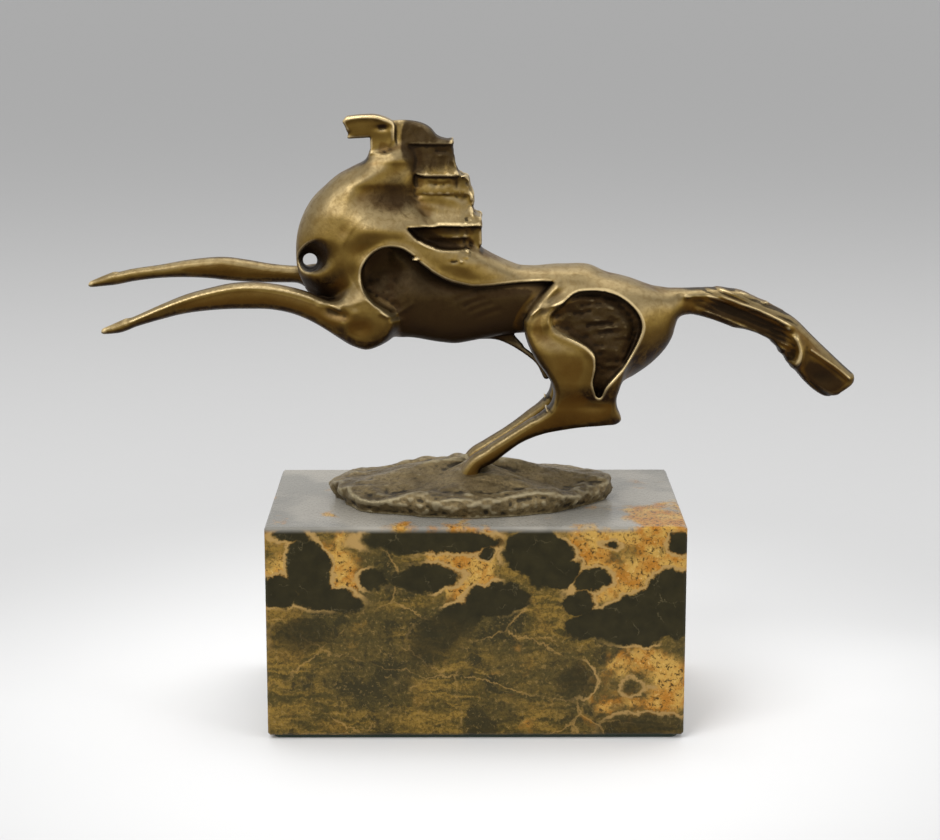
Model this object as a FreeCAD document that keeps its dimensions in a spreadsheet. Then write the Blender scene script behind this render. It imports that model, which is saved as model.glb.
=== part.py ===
"""Leaping horse statuette: bronze castings brazed into one figure and bolted to a black and gold marble block.

Frame: millimetres, +Z up, origin at the centre of the felt's underside. The horse gallops towards -X. Its near
side faces -Y and its far side faces +Y. The figure is cast in sections, because its limbs, head, mane and tail
stand out in different directions. Each section seats against the next one, with a spigot in a socket.
"""

import FreeCAD, Part
import math
import os

import Sketcher

App = FreeCAD
V = App.Vector

doc = App.newDocument("leaping_horse")
sheet = doc.addObject("Spreadsheet::Sheet", "dims")
POINTS_ROUND = 12  # points that a section's smooth outline runs through
FAR = 400.0  # further than any point of the horse


# ---------------------------------------------------------------- driving dimensions
def put(alias, value):
    """Adds one driving dimension to the sheet."""
    put.row += 1
    sheet.set(f"A{put.row}", alias)
    sheet.set(f"B{put.row}", str(value))
    sheet.setAlias(f"B{put.row}", alias)


put.row = 0


def val(alias):
    """One driving dimension, in millimetres."""
    return float(sheet.get(alias))


SIZES = {
    # stone block, and the felt glued under it
    "felt_thick": 1.5,
    "felt_margin": 2.0,
    "block_long": 150.0,
    "block_deep": 90.0,
    "block_high": 77.5,
    "block_edge": 0.8,
    "bore_dia": 8.0,
    "counterbore_dia": 26.0,
    "counterbore_deep": 16.0,
    # M6 fixing
    "stud_dia": 6.0,
    "stud_grip": 7.0,
    "stud_chamfer": 0.8,
    "stud_proud": 2.0,
    "washer_dia": 22.0,
    "washer_bore": 6.4,
    "washer_thick": 1.6,
    "spring_dia": 11.8,
    "spring_thick": 1.6,
    "spring_gap": 1.6,
    "nut_flats": 10.0,
    "nut_high": 5.0,
    "nut_chamfer": 0.6,
    # cast ground, hollow underneath
    "ground_wall": 4.0,
    "boss_dia": 15.0,
    "boss_high": 11.0,
    # joints between the castings
    "spigot_dia": 5.0,
    "spigot_long": 7.0,
    "neck_ring_z": 207.5,
    "near_knee_x": -49.0,
    "off_knee_x": -61.0,
    "dock_x": 75.0,
    "hock_cut": 14.0,
    # the hole pierced through the chest, and the sheath under the belly
    "eyelet_dia": 5.0,
    "eyelet_x": -60.3,
    "eyelet_z": 168.0,
    "sheath_dia": 2.6,
    # the mane's slab, its shelves and the plate over the withers
    "mane_thick": 8.0,
    "shelf_thick": 1.2,
    "shelf_deep": 11.6,
    "withers_left": -24.5,
    "withers_long": 26.3,
    "withers_deep": 22.0,
    "withers_low": 174.0,
    "withers_high": 6.6,
    "withers_round": 5.0,
    # a hind shank leans forward from inside the hock down to the foot
    "hock_x": 40.0,
    "hock_z": 113.0,
    "foot_x": 0.5,
    "foot_z": 91.0,
    "shank_y": 11.5,
    "foot_in": 1.5,
    "shank_wide": 4.8,
    "off_foot_forward": 4.5,
}

# A loft runs through stations. An upright loft's stations are heights and its outlines are level, and any other
# loft's stations lie along X. Each one gives its place, the lowest and highest X or Z of its outline, the middle
# and half the width in Y, and how square the outline is: 2 is an ellipse and 4 is nearly a rounded box.
FIELDS = ("at", "low", "high", "mid_y", "half_y", "square")
LOFTS = {
    "neck": [
        (146.0, -42.0, -26.0, 0.0, 8.0, 2.0),
        (153.0, -53.0, -16.0, 0.0, 15.5, 2.0),
        (162.0, -62.5, -11.0, 0.0, 19.0, 2.0),
        (172.0, -65.2, -10.0, 0.0, 20.0, 2.0),
        (184.0, -62.8, -15.0, 0.0, 17.5, 2.0),
        (195.0, -54.5, -20.0, 0.0, 13.0, 2.0),
        (203.0, -43.5, -24.0, 0.0, 8.5, 2.0),
        (208.0, -38.0, -29.0, 0.0, 5.0, 2.2),
    ],
    "barrel": [
        (-38.0, 148.0, 176.0, 0.0, 14.0, 2.0),
        (-25.0, 141.0, 179.0, 0.0, 18.0, 2.2),
        (-10.0, 138.0, 177.5, 0.0, 17.0, 2.2),
        (2.0, 139.0, 172.5, 0.0, 15.5, 2.2),
        (15.0, 140.0, 166.5, 0.0, 15.0, 2.2),
        (30.0, 140.0, 165.0, 0.0, 17.0, 2.0),
    ],
    "haunch": [
        (19.0, 143.0, 164.0, 0.0, 11.0, 2.0),
        (27.0, 134.0, 165.0, 0.0, 19.0, 2.0),
        (38.0, 126.0, 164.8, 0.0, 23.0, 2.0),
        (50.0, 122.5, 163.2, 0.0, 23.5, 2.0),
        (60.0, 126.5, 160.2, 0.0, 19.5, 2.0),
        (68.0, 133.5, 157.6, 0.0, 13.5, 2.0),
        (73.0, 142.0, 156.8, 0.0, 8.0, 2.0),
        (77.0, 147.5, 157.0, 0.0, 5.0, 2.4),
    ],
    "near_thigh": [
        (106.0, 36.0, 44.0, -12.0, 3.0, 2.0),
        (109.5, 30.0, 52.6, -12.0, 5.0, 2.4),
        (114.0, 27.0, 52.9, -12.0, 6.0, 2.4),
        (120.0, 28.0, 51.4, -12.0, 7.0, 2.2),
        (126.0, 26.5, 53.0, -12.5, 8.5, 2.0),
        (136.0, 20.5, 55.0, -12.0, 10.0, 2.0),
        (148.0, 17.8, 50.0, -8.0, 12.0, 2.0),
    ],
    "near_elbow": [
        (-51.0, 142.8, 155.6, -12.3, 5.4, 2.0),
        (-42.0, 138.3, 160.0, -12.5, 7.5, 2.0),
        (-36.0, 139.0, 162.0, -12.0, 7.5, 2.0),
        (-29.0, 144.0, 160.0, -10.0, 7.0, 2.0),
    ],
    "off_elbow": [
        (-58.0, 154.0, 163.4, 10.8, 5.0, 2.0),
        (-50.0, 147.5, 163.0, 10.5, 6.5, 2.0),
        (-41.0, 143.0, 162.5, 10.5, 7.5, 2.0),
        (-30.0, 144.0, 161.0, 10.0, 7.0, 2.0),
    ],
    "near_fore": [
        (-135.0, 143.4, 144.4, -14.0, 0.5, 2.0),
        (-128.0, 143.8, 147.2, -14.0, 1.9, 2.0),
        (-114.0, 148.4, 153.4, -14.0, 3.0, 2.2),
        (-98.0, 151.6, 159.1, -14.0, 4.0, 2.4),
        (-82.0, 152.5, 161.8, -14.0, 4.8, 2.4),
        (-66.0, 150.8, 160.0, -13.5, 5.2, 2.4),
        (-56.0, 146.4, 156.8, -13.0, 5.6, 2.2),
        (-47.0, 141.4, 155.0, -12.5, 6.2, 2.0),
    ],
    "off_fore": [
        (-144.0, 156.2, 157.2, 14.0, 0.5, 2.0),
        (-136.0, 156.8, 160.4, 14.0, 1.8, 2.0),
        (-122.0, 159.0, 163.5, 14.0, 2.8, 2.2),
        (-107.0, 160.0, 166.1, 14.0, 3.6, 2.4),
        (-92.0, 158.9, 167.2, 14.0, 4.2, 2.4),
        (-77.0, 157.9, 164.9, 13.5, 4.6, 2.4),
        (-64.0, 156.5, 163.8, 12.0, 5.0, 2.2),
        (-54.0, 152.0, 163.0, 10.0, 5.5, 2.0),
    ],
    "tail": [
        (72.0, 147.5, 156.9, 0.0, 4.6, 2.4),
        (80.0, 147.8, 157.7, 0.0, 5.0, 2.6),
        (92.0, 144.6, 157.9, -0.3, 5.6, 3.0),
        (104.0, 140.3, 153.8, -0.6, 5.8, 3.0),
        (113.0, 132.4, 149.4, 0.0, 5.2, 3.0),
        (122.0, 123.6, 141.8, 0.6, 4.6, 3.0),
        (131.0, 118.2, 133.4, 0.8, 4.2, 3.2),
        (137.5, 119.6, 127.2, 0.8, 3.6, 3.2),
        (139.3, 123.0, 125.6, 0.8, 3.0, 3.2),
    ],
    "muzzle": [
        (-47.0, 213.4, 219.0, 0.0, 3.4, 3.0),
        (-41.0, 213.2, 219.8, 0.0, 4.0, 3.0),
        (-35.0, 213.0, 220.2, 0.0, 4.8, 3.0),
        (-29.0, 210.5, 218.4, 0.0, 4.2, 3.0),
    ],
    "throat": [
        (207.5, -37.8, -29.2, 0.0, 4.4, 2.2),
        (211.0, -37.6, -29.6, 0.0, 3.9, 2.2),
        (216.0, -36.8, -29.8, 0.0, 3.6, 2.2),
    ],
    "ground": [
        (79.0, -54.0, 49.0, -1.5, 32.5, 2.3),
        (83.0, -54.0, 49.0, -1.5, 32.0, 2.3),
        (87.0, -49.5, 44.0, -1.0, 28.5, 2.2),
        (91.0, -37.0, 31.0, 0.0, 20.0, 2.1),
        (94.5, -17.0, 13.5, 0.0, 9.0, 2.0),
    ],
    # the hollow under the ground, down to the marble
    "under_ground": [
        (79.0, -50.0, 45.0, -1.5, 28.5, 2.3),
        (83.0, -46.5, 41.0, -1.0, 25.0, 2.2),
        (86.5, -35.5, 29.0, 0.0, 18.0, 2.1),
        (89.5, -17.0, 13.5, 0.0, 9.0, 2.0),
    ],
}
UPRIGHT = {"neck", "near_thigh", "throat", "ground", "under_ground"}

# The mane's outline, from the poll round the rough back edge to the withers and up the crest.
MANE_OUTLINE = [
    (-28.7, 217.8),
    (-21.8, 217.0),
    (-15.3, 214.2),
    (-9.0, 211.7),
    (-7.2, 206.0),
    (-6.8, 202.4),
    (-3.4, 199.4),
    (-1.6, 192.4),
    (-2.1, 185.0),
    (-2.5, 179.0),
    (-22.0, 178.0),
    (-26.0, 190.0),
    (-28.7, 203.0),
]
# Each shelf runs round the mane at one height.
SHELVES = {"poll": (211.0, -25.0, 15.6), "crest": (200.0, -26.0, 22.4), "wither": (193.2, -23.0, 14.5)}

# The scoops: middle X, distance from the horse's middle plane, middle Z, then half sizes in X, Y and Z.
SCOOPS = {
    "shoulder": (-28.0, 23.0, 164.0, 11.5, 9.0, 11.0),
    "flank": (-2.0, 22.0, 152.0, 17.0, 8.0, 9.0),
    "thigh": (46.0, 27.5, 145.5, 14.5, 9.0, 13.0),
}

# The hollow that the casting core leaves, from the neck's ring to the dock: its spine and its radius.
CORE = [
    (-33.0, 203.0, 3.0),
    (-38.0, 192.0, 6.5),
    (-36.0, 175.0, 8.5),
    (-15.0, 160.0, 7.5),
    (15.0, 153.0, 6.0),
    (38.0, 147.0, 8.0),
    (56.0, 146.0, 7.0),
    (66.0, 149.0, 4.0),
]

# A shank's stations: share of the way to the foot, half its depth, and how far it bows backwards.
SHANK = [(0.0, 5.4, 0.0), (0.35, 4.6, 1.2), (0.75, 4.2, 0.6), (1.0, 4.2, 0.0)]


def fill_sheet():
    """Puts every driving dimension in the sheet, under a name made from the piece, the place and the field."""
    for alias, value in SIZES.items():
        put(alias, value)
    tables = {name: (FIELDS, stations) for name, stations in LOFTS.items()}
    tables["mane"] = (("x", "z"), MANE_OUTLINE)
    tables["core"] = (("x", "z", "radius"), CORE)
    tables["shank"] = (("share", "half", "bow"), SHANK)
    for name, (fields, rows) in tables.items():
        for number, row in enumerate(rows):
            for field, value in zip(fields, row):
                put(f"{name}_{number}_{field}", value)
    for name, row in SHELVES.items():
        for field, value in zip(("top", "left", "long"), row):
            put(f"{name}_shelf_{field}", value)
    for name, row in SCOOPS.items():
        for field, value in zip(("x", "out", "z", "half_x", "half_y", "half_z"), row):
            put(f"{name}_scoop_{field}", value)
    doc.recompute()


def row_of(name, number, fields):
    """One row of a table, read back from the sheet."""
    return [val(f"{name}_{number}_{field}") for field in fields]


# ---------------------------------------------------------------- makers: solids and booleans
def bind(made, **expressions):
    """Binds properties of an object to the sheet, and works it out."""
    for name, expression in expressions.items():
        made.setExpression(name, expression)
    doc.recompute()
    return made


def feature(name, shape):
    """A plain document object that holds a shape."""
    made = doc.addObject("Part::Feature", name)
    made.Shape = shape
    return made


def boolean(kind, name, base, tool):
    made = doc.addObject(f"Part::{kind}", name)
    made.Base = base
    made.Tool = tool
    doc.recompute()
    return made


def cut(name, base, tool):
    return boolean("Cut", name, base, tool)


def common(name, base, tool):
    return boolean("Common", name, base, tool)


def fuse(name, *objects):
    made = doc.addObject("Part::MultiFuse", name)
    made.Shapes = list(objects)
    doc.recompute()
    return made


def ring(centre, half_a, half_b, axis_a, axis_b, square):
    """A smooth closed superellipse about centre. Its seam is always on the +axis_a side, so a loft can't twist."""
    points = []
    for step in range(POINTS_ROUND):
        turn = 2 * math.pi * step / POINTS_ROUND
        c = math.cos(turn)
        s = math.sin(turn)
        a = half_a * math.copysign(abs(c) ** (2 / square), c)
        b = half_b * math.copysign(abs(s) ** (2 / square), s)
        points.append(centre + axis_a * a + axis_b * b)
    curve = Part.BSplineCurve()
    curve.interpolate(points, PeriodicFlag=True)
    return Part.Wire([curve.toShape()])


def loft_through(name, wires):
    made = doc.addObject("Part::Loft", f"{name}_loft")
    made.Sections = [feature(f"{name}_section_{number}", wire) for number, wire in enumerate(wires)]
    made.Solid = True
    made.Ruled = False
    doc.recompute()
    return made


def loft(name, label=None, side=1.0):
    """The loft of that name. A side of -1 puts it on the other side of the horse."""
    wires = []
    for number in range(len(LOFTS[name])):
        at, low, high, mid_y, half_y, square = row_of(name, number, FIELDS)
        middle = (low + high) / 2
        half = (high - low) / 2
        if name in UPRIGHT:
            wires.append(ring(V(middle, side * mid_y, at), half, half_y, V(1, 0, 0), V(0, 1, 0), square))
        else:
            wires.append(ring(V(at, side * mid_y, middle), half, half_y, V(0, 0, 1), V(0, 1, 0), square))
    return loft_through(label or name, wires)


def tube_through(name, spine, halves, wide):
    """A loft about a spine in a plane of constant Y, with half its depth given at each point of the spine."""
    wires = []
    for number, centre in enumerate(spine):
        before = spine[max(number - 1, 0)]
        after = spine[min(number + 1, len(spine) - 1)]
        across = V(0, 1, 0).cross((after - before).normalize()).normalize()
        wires.append(ring(centre, halves[number], wide or halves[number], across, V(0, 1, 0), 2.0))
    return loft_through(name, wires)


def cylinder(name, base, direction, **expressions):
    """A Part::Cylinder that starts at base and runs along direction, with its sizes bound to the sheet."""
    made = doc.addObject("Part::Cylinder", name)
    made.Placement = App.Placement(base, App.Rotation(V(0, 0, 1), direction))
    return bind(made, **expressions)


def spigot(name, base, direction):
    """A round spigot that seats one casting in another."""
    return cylinder(name, base, direction, Radius="dims.spigot_dia / 2", Height="dims.spigot_long")


def box(name, low, high):
    """A Part::Box between two corners."""
    made = doc.addObject("Part::Box", name)
    made.Length = high.x - low.x
    made.Width = high.y - low.y
    made.Height = high.z - low.z
    made.Placement.Base = low
    doc.recompute()
    return made


def past_x(name, x, side):
    """Everything past the plane at x: towards +X for side 1, and towards -X for side -1."""
    far_x = x + side * FAR
    return box(name, V(min(x, far_x), -FAR, -FAR), V(max(x, far_x), FAR, FAR))


def past_plane(name, point, direction):
    """Everything past the plane through point whose normal is direction."""
    made = box(name, V(-FAR, -FAR, 0), V(FAR, FAR, FAR))
    tilt = App.Rotation(V(0, 0, 1), direction)
    made.Placement = App.Placement(point + tilt.multVec(V(-FAR, -FAR, 0)), tilt)
    doc.recompute()
    return made


# ---------------------------------------------------------------- makers: PartDesign
def new_body(label):
    made = doc.addObject("PartDesign::Body", label)
    made.Label = label
    return made


def new_sketch(body, name):
    """An empty sketch on the body's own XY plane."""
    made = body.newObject("Sketcher::SketchObject", name)
    plane = next(item for item in body.Origin.OriginFeatures if item.Role == "XY_Plane")
    made.AttachmentSupport = [(plane, "")]
    made.MapMode = "FlatFace"
    return made


def circle_sketch(body, name, diameter):
    made = new_sketch(body, name)
    made.addGeometry(Part.Circle(V(0, 0, 0), V(0, 0, 1), 10.0), False)
    made.addConstraint(Sketcher.Constraint("Coincident", 0, 3, -1, 1))
    made.addConstraint(Sketcher.Constraint("Diameter", 0, 10.0))
    return bind(made, **{"Constraints[1]": diameter})


def outline(sketch, corners):
    """A closed outline of straight lines."""
    count = len(corners)
    for number in range(count):
        sketch.addGeometry(Part.LineSegment(corners[number], corners[(number + 1) % count]), False)
    for number in range(count):
        sketch.addConstraint(Sketcher.Constraint("Coincident", number, 2, (number + 1) % count, 1))
    return sketch


def rectangle_sketch(body, name, long_expression, deep_expression):
    """A rectangle centred on the origin."""
    made = outline(new_sketch(body, name), [V(-10, -5, 0), V(10, -5, 0), V(10, 5, 0), V(-10, 5, 0)])
    for number in (0, 2):
        made.addConstraint(Sketcher.Constraint("Horizontal", number))
        made.addConstraint(Sketcher.Constraint("Vertical", number + 1))
    made.addConstraint(Sketcher.Constraint("Symmetric", 0, 1, 1, 2, -1, 1))
    length = made.addConstraint(Sketcher.Constraint("DistanceX", 0, 1, 0, 2, 20.0))
    depth = made.addConstraint(Sketcher.Constraint("DistanceY", 1, 1, 1, 2, 10.0))
    return bind(made, **{f"Constraints[{length}]": long_expression, f"Constraints[{depth}]": deep_expression})


def pad(body, sketch, length):
    made = body.newObject("PartDesign::Pad", f"{sketch.Name}_pad")
    made.Profile = sketch
    return bind(made, Length=length)


def pocket(body, sketch, length):
    """A pocket cut upwards from the sketch."""
    before = body.Shape.Volume
    made = body.newObject("PartDesign::Pocket", f"{sketch.Name}_pocket")
    made.Profile = sketch
    made.Reversed = True
    bind(made, Length=length)
    if not body.Shape.Volume < before:
        raise RuntimeError(f"{made.Name} cuts nothing")
    return made


def chamfer(body, name, size, wanted):
    """A chamfer on every edge of the body that wanted says yes to."""
    base = body.Tip
    edges = [f"Edge{number}" for number, edge in enumerate(body.Shape.Edges, 1) if wanted(edge)]
    made = body.newObject("PartDesign::Chamfer", name)
    made.Base = (base, edges)
    return bind(made, Size=size)


def raised(body, height):
    """Sets the finished body at its height above the felt's underside."""
    body.Placement = App.Placement(V(0, 0, height), App.Rotation())
    return body


# ---------------------------------------------------------------- base: felt, stone and fixing
def make_felt():
    body = new_body("felt_sheet")
    long_side = "dims.block_long - 2 * dims.felt_margin"
    deep_side = "dims.block_deep - 2 * dims.felt_margin"
    pad(body, rectangle_sketch(body, "felt_outline", long_side, deep_side), "dims.felt_thick")
    return body


def make_stone():
    """The block, with a through bore for the stud and a counterbore under it for the nut."""
    body = new_body("marble_block")
    pad(body, rectangle_sketch(body, "stone_outline", "dims.block_long", "dims.block_deep"), "dims.block_high")
    pocket(body, circle_sketch(body, "stone_bore", "dims.bore_dia"), "dims.block_high")
    pocket(body, circle_sketch(body, "stone_counterbore", "dims.counterbore_dia"), "dims.counterbore_deep")
    chamfer(body, "stone_arris", "dims.block_edge", lambda edge: edge.Curve.TypeId == "Part::GeomLine"
            and abs(edge.CenterOfMass.x) + abs(edge.CenterOfMass.y) > val("counterbore_dia"))
    return raised(body, val("felt_thick"))


def nut_bottom():
    """The washer bears on the counterbore's shoulder, and the spring washer and the nut hang below it."""
    shoulder = val("felt_thick") + val("counterbore_deep")
    return shoulder - val("washer_thick") - val("spring_thick") - val("nut_high")


def make_washer():
    body = new_body("plain_washer")
    pad(body, circle_sketch(body, "washer_outline", "dims.washer_dia"), "dims.washer_thick")
    pocket(body, circle_sketch(body, "washer_hole", "dims.washer_bore"), "dims.washer_thick")
    return raised(body, nut_bottom() + val("nut_high") + val("spring_thick"))


def make_spring_washer():
    """A split ring, clamped flat."""
    body = new_body("spring_washer")
    pad(body, circle_sketch(body, "spring_outline", "dims.spring_dia"), "dims.spring_thick")
    pocket(body, circle_sketch(body, "spring_hole", "dims.washer_bore"), "dims.spring_thick")
    half = val("spring_gap") / 2
    reach = val("spring_dia")
    corners = [V(0, -half, 0), V(reach, -half, 0), V(reach, half, 0), V(0, half, 0)]
    pocket(body, outline(new_sketch(body, "spring_slit"), corners), "dims.spring_thick")
    return raised(body, nut_bottom() + val("nut_high"))


def make_nut():
    body = new_body("hex_nut")
    radius = val("nut_flats") / math.sqrt(3)
    turns = [math.radians(60 * step) for step in range(6)]
    corners = [V(radius * math.cos(turn), radius * math.sin(turn), 0) for turn in turns]
    pad(body, outline(new_sketch(body, "nut_outline"), corners), "dims.nut_high")
    pocket(body, circle_sketch(body, "nut_thread", "dims.stud_dia"), "dims.nut_high")
    chamfer(body, "nut_rims", "dims.nut_chamfer",
            lambda edge: edge.Curve.TypeId == "Part::GeomLine" and edge.BoundBox.ZLength < 0.01)
    return raised(body, nut_bottom())


def make_stud():
    """M6 screwed rod, drawn at its major diameter, from just below the nut up into the ground's boss."""
    body = new_body("fixing_stud")
    bottom = nut_bottom() - val("stud_proud")
    put("stud_long", val("felt_thick") + val("block_high") + val("stud_grip") - bottom)
    doc.recompute()
    pad(body, circle_sketch(body, "stud_outline", "dims.stud_dia"), "dims.stud_long")
    chamfer(body, "stud_ends", "dims.stud_chamfer", lambda edge: edge.Curve.TypeId == "Part::GeomCircle")
    return raised(body, bottom)


# ---------------------------------------------------------------- castings
def make_shank(name, side, forward):
    """A hind shank's solid, its place at the hock and its direction."""
    hock = V(val("hock_x"), side * val("shank_y"), val("hock_z"))
    foot = V(val("foot_x") - forward, side * (val("shank_y") - val("foot_in")), val("foot_z"))
    run = foot - hock
    along = V(run).normalize()
    backward = along.cross(V(0, 1, 0)).normalize()
    rows = [row_of("shank", number, ("share", "half", "bow")) for number in range(len(SHANK))]
    spine = [hock + run * share + backward * bow for share, half, bow in rows]
    return tube_through(name, spine, [half for share, half, bow in rows], val("shank_wide")), hock, along


def make_scoops():
    """The hollows carved in both flanks of the horse."""
    made = []
    for word, side in (("near", -1), ("off", 1)):
        for name in SCOOPS:
            scoop = doc.addObject("Part::Ellipsoid", f"{word}_{name}_scoop")
            scoop.Angle1 = -90
            scoop.Angle2 = 90
            scoop.Angle3 = 360
            cell = f"dims.{name}_scoop"
            bind(scoop, Radius1=f"{cell}_half_z", Radius2=f"{cell}_half_x", Radius3=f"{cell}_half_y")
            across = "" if side > 0 else "-"
            place = {"Placement.Base.x": f"{cell}_x", "Placement.Base.y": f"{across}{cell}_out"}
            place["Placement.Base.z"] = f"{cell}_z"
            made.append(bind(scoop, **place))
    return made


def make_eyelet():
    """The hole pierced through the chest, from side to side."""
    base = V(val("eyelet_x"), -FAR / 2, val("eyelet_z"))
    eyelet = cylinder("eyelet", base, V(0, 1, 0), Radius="dims.eyelet_dia / 2")
    eyelet.Height = FAR
    doc.recompute()
    return eyelet


def make_core():
    rows = [row_of("core", number, ("x", "z", "radius")) for number in range(len(CORE))]
    return tube_through("core", [V(x, 0, z) for x, z, radius in rows], [radius for x, z, radius in rows], None)


def make_body():
    """The neck, chest, barrel and haunches, carved, pierced and hollow, before the other castings seat in it."""
    lofts = [loft(name) for name in ("neck", "barrel", "haunch", "near_thigh", "near_elbow", "off_elbow")]
    lofts.append(loft("near_thigh", "off_thigh", -1.0))
    sheath_start = V(5.0, 3.0, 140.5)
    sheath_run = V(25.0, 8.5, 127.0) - sheath_start
    sheath = cylinder("sheath", sheath_start, sheath_run, Radius="dims.sheath_dia / 2")
    sheath.Height = sheath_run.Length
    doc.recompute()
    whole = fuse("body_solid", *lofts, sheath)
    return cut("body_carved", whole, fuse("body_hollows", *make_scoops(), make_eyelet(), make_core()))


def make_mane():
    """The mane's slab with its shelves and the plate over the withers. It is let into the neck and the barrel."""
    half = val("mane_thick") / 2
    rows = [row_of("mane", number, ("x", "z")) for number in range(len(MANE_OUTLINE))]
    corners = [V(x, -half, z) for x, z in rows]
    slab = doc.addObject("Part::Extrusion", "mane_slab")
    slab.Base = feature("mane_outline", Part.Face(Part.makePolygon(corners + corners[:1])))
    slab.DirMode = "Custom"
    slab.Dir = V(0, 1, 0)
    slab.Solid = True
    bind(slab, LengthFwd="dims.mane_thick")
    pieces = [slab]
    for name in SHELVES:
        shelf = doc.addObject("Part::Box", f"{name}_shelf")
        bind(shelf, Length=f"dims.{name}_shelf_long", Width="dims.shelf_deep", Height="dims.shelf_thick")
        place = {"Placement.Base.x": f"dims.{name}_shelf_left", "Placement.Base.y": "-dims.shelf_deep / 2"}
        place["Placement.Base.z"] = f"dims.{name}_shelf_top - dims.shelf_thick"
        pieces.append(bind(shelf, **place))
    plate = doc.addObject("Part::Box", "withers_plate")
    bind(plate, Length="dims.withers_long", Width="dims.withers_deep", Height="dims.withers_high")
    place = {"Placement.Base.x": "dims.withers_left", "Placement.Base.y": "-dims.withers_deep / 2"}
    bind(plate, **place, **{"Placement.Base.z": "dims.withers_low"})
    rounded = doc.addObject("Part::Fillet", "withers_rounded")
    rounded.Base = plate
    radius = val("withers_round")
    uprights = [number for number, edge in enumerate(plate.Shape.Edges, 1) if abs(edge.tangentAt(0).z) > 0.9]
    rounded.Edges = [(number, radius, radius) for number in uprights]
    doc.recompute()
    return fuse("mane_whole", *pieces, rounded)


def make_ground():
    """The cast ground: an oval mound, hollow underneath, with a tapped boss for the stud."""
    base = V(0, 0, val("ground_0_at"))
    up = V(0, 0, 1)
    shell = cut("ground_shell", loft("ground"), loft("under_ground"))
    boss = cylinder("ground_boss", base, up, Radius="dims.boss_dia / 2", Height="dims.boss_high")
    tapping = cylinder("ground_tapping", base, up, Radius="dims.stud_dia / 2", Height="dims.stud_grip")
    return cut("ground_tapped", fuse("ground_with_boss", shell, boss), tapping)


def make_foreleg(word, knee_alias, y, z):
    """A foreleg, cut off flat where it meets the chest, with its spigot."""
    knee = val(knee_alias)
    leg = common(f"{word}_fore_cut", loft(f"{word}_fore"), past_x(f"before_{word}_knee", knee, -1))
    return fuse(f"{word}_foreleg_whole", leg, spigot(f"{word}_fore_spigot", V(knee - 1, y, z), V(1, 0, 0)))


def make_tail():
    dock = val("dock_x")
    tail = common("tail_cut", loft("tail"), past_x("behind_dock", dock, 1))
    return fuse("tail_whole", tail, spigot("tail_spigot", V(dock + 1, 0, 152.2), V(-1, 0, 0)))


def make_head():
    neck_ring = val("neck_ring_z")
    skull = fuse("head_whole", loft("muzzle"), loft("throat"))
    return fuse("head_with_spigot", skull, spigot("head_spigot", V(-33.8, 0, neck_ring + 1), V(0, 0, -1)))


def make_horse():
    """Every casting of the figure and its ground, seated against each other, as {node name: object}."""
    body = make_body()
    ground = make_ground()
    made = {
        "mane_casting": make_mane(),
        "head_casting": make_head(),
        "near_foreleg": make_foreleg("near", "near_knee_x", -12.6, 149.3),
        "off_foreleg": make_foreleg("off", "off_knee_x", 11.6, 160.0),
        "tail_casting": make_tail(),
    }
    for word, side, forward in (("near", -1, 0.0), ("off", 1, val("off_foot_forward"))):
        leg, hock, along = make_shank(f"{word}_shank", side, forward)
        seat = hock + along * val("hock_cut")
        below_seat = past_plane(f"{word}_below_seat", seat, along)
        body = fuse(f"body_with_{word}_stump", body, cut(f"{word}_stump", leg, below_seat))
        lower = common(f"{word}_lower_leg", leg, below_seat)
        pin = spigot(f"{word}_hock_spigot", seat + along, along * -1)
        made[f"{word}_hind_leg"] = fuse(f"{word}_hind_leg_whole", lower, pin)
        ground = cut(f"ground_seat_{word}", ground, lower)

    neck_ring = val("neck_ring_z")
    body = cut("body_under_ring", body, box("above_ring", V(-FAR, -FAR, neck_ring), V(FAR, FAR, FAR)))
    body = cut("body_before_dock", body, past_x("past_dock", val("dock_x"), 1))
    for label, item in made.items():
        body = cut(f"body_seat_{label}", body, item)
    made["body_casting"] = cut("body_seat_ground", body, ground)
    made["ground_casting"] = ground
    for label, item in made.items():
        item.Label = label
    return made


# ---------------------------------------------------------------- the whole statuette
def check(made):
    """Stops when an object failed, or when a piece isn't exactly one sound solid."""
    for item in doc.Objects:
        if {"Invalid", "Error"} & set(item.State):
            raise RuntimeError(f"{item.Name} failed: {item.State}")
    for label, item in sorted(made.items()):
        shape = item.Shape
        if shape.isNull() or not shape.isValid():
            raise RuntimeError(f"{label} has no valid shape")
        volumes = [round(solid.Volume) for solid in shape.Solids]
        print(f"{label}: solids of {volumes} mm3")
        if len(volumes) != 1:
            raise RuntimeError(f"{label} isn't one solid")


def main():
    fill_sheet()
    made = {
        "felt_sheet": make_felt(),
        "marble_block": make_stone(),
        "plain_washer": make_washer(),
        "spring_washer": make_spring_washer(),
        "hex_nut": make_nut(),
        "fixing_stud": make_stud(),
    }
    made.update(make_horse())
    doc.recompute()
    check(made)
    os.makedirs("parts", exist_ok=True)
    for label, item in made.items():
        item.Shape.exportStep(f"parts/{label}.step")


main()
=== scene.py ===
"""A leaping bronze horse on a cast ground and a black and gold marble block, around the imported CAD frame.

The figure is sculpted as one signed distance field in millimetres and turned into one closed skin. It is
parted where its limbs, tail and head join the body, so each piece stands for its own CAD castings.
"""

import math

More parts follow.
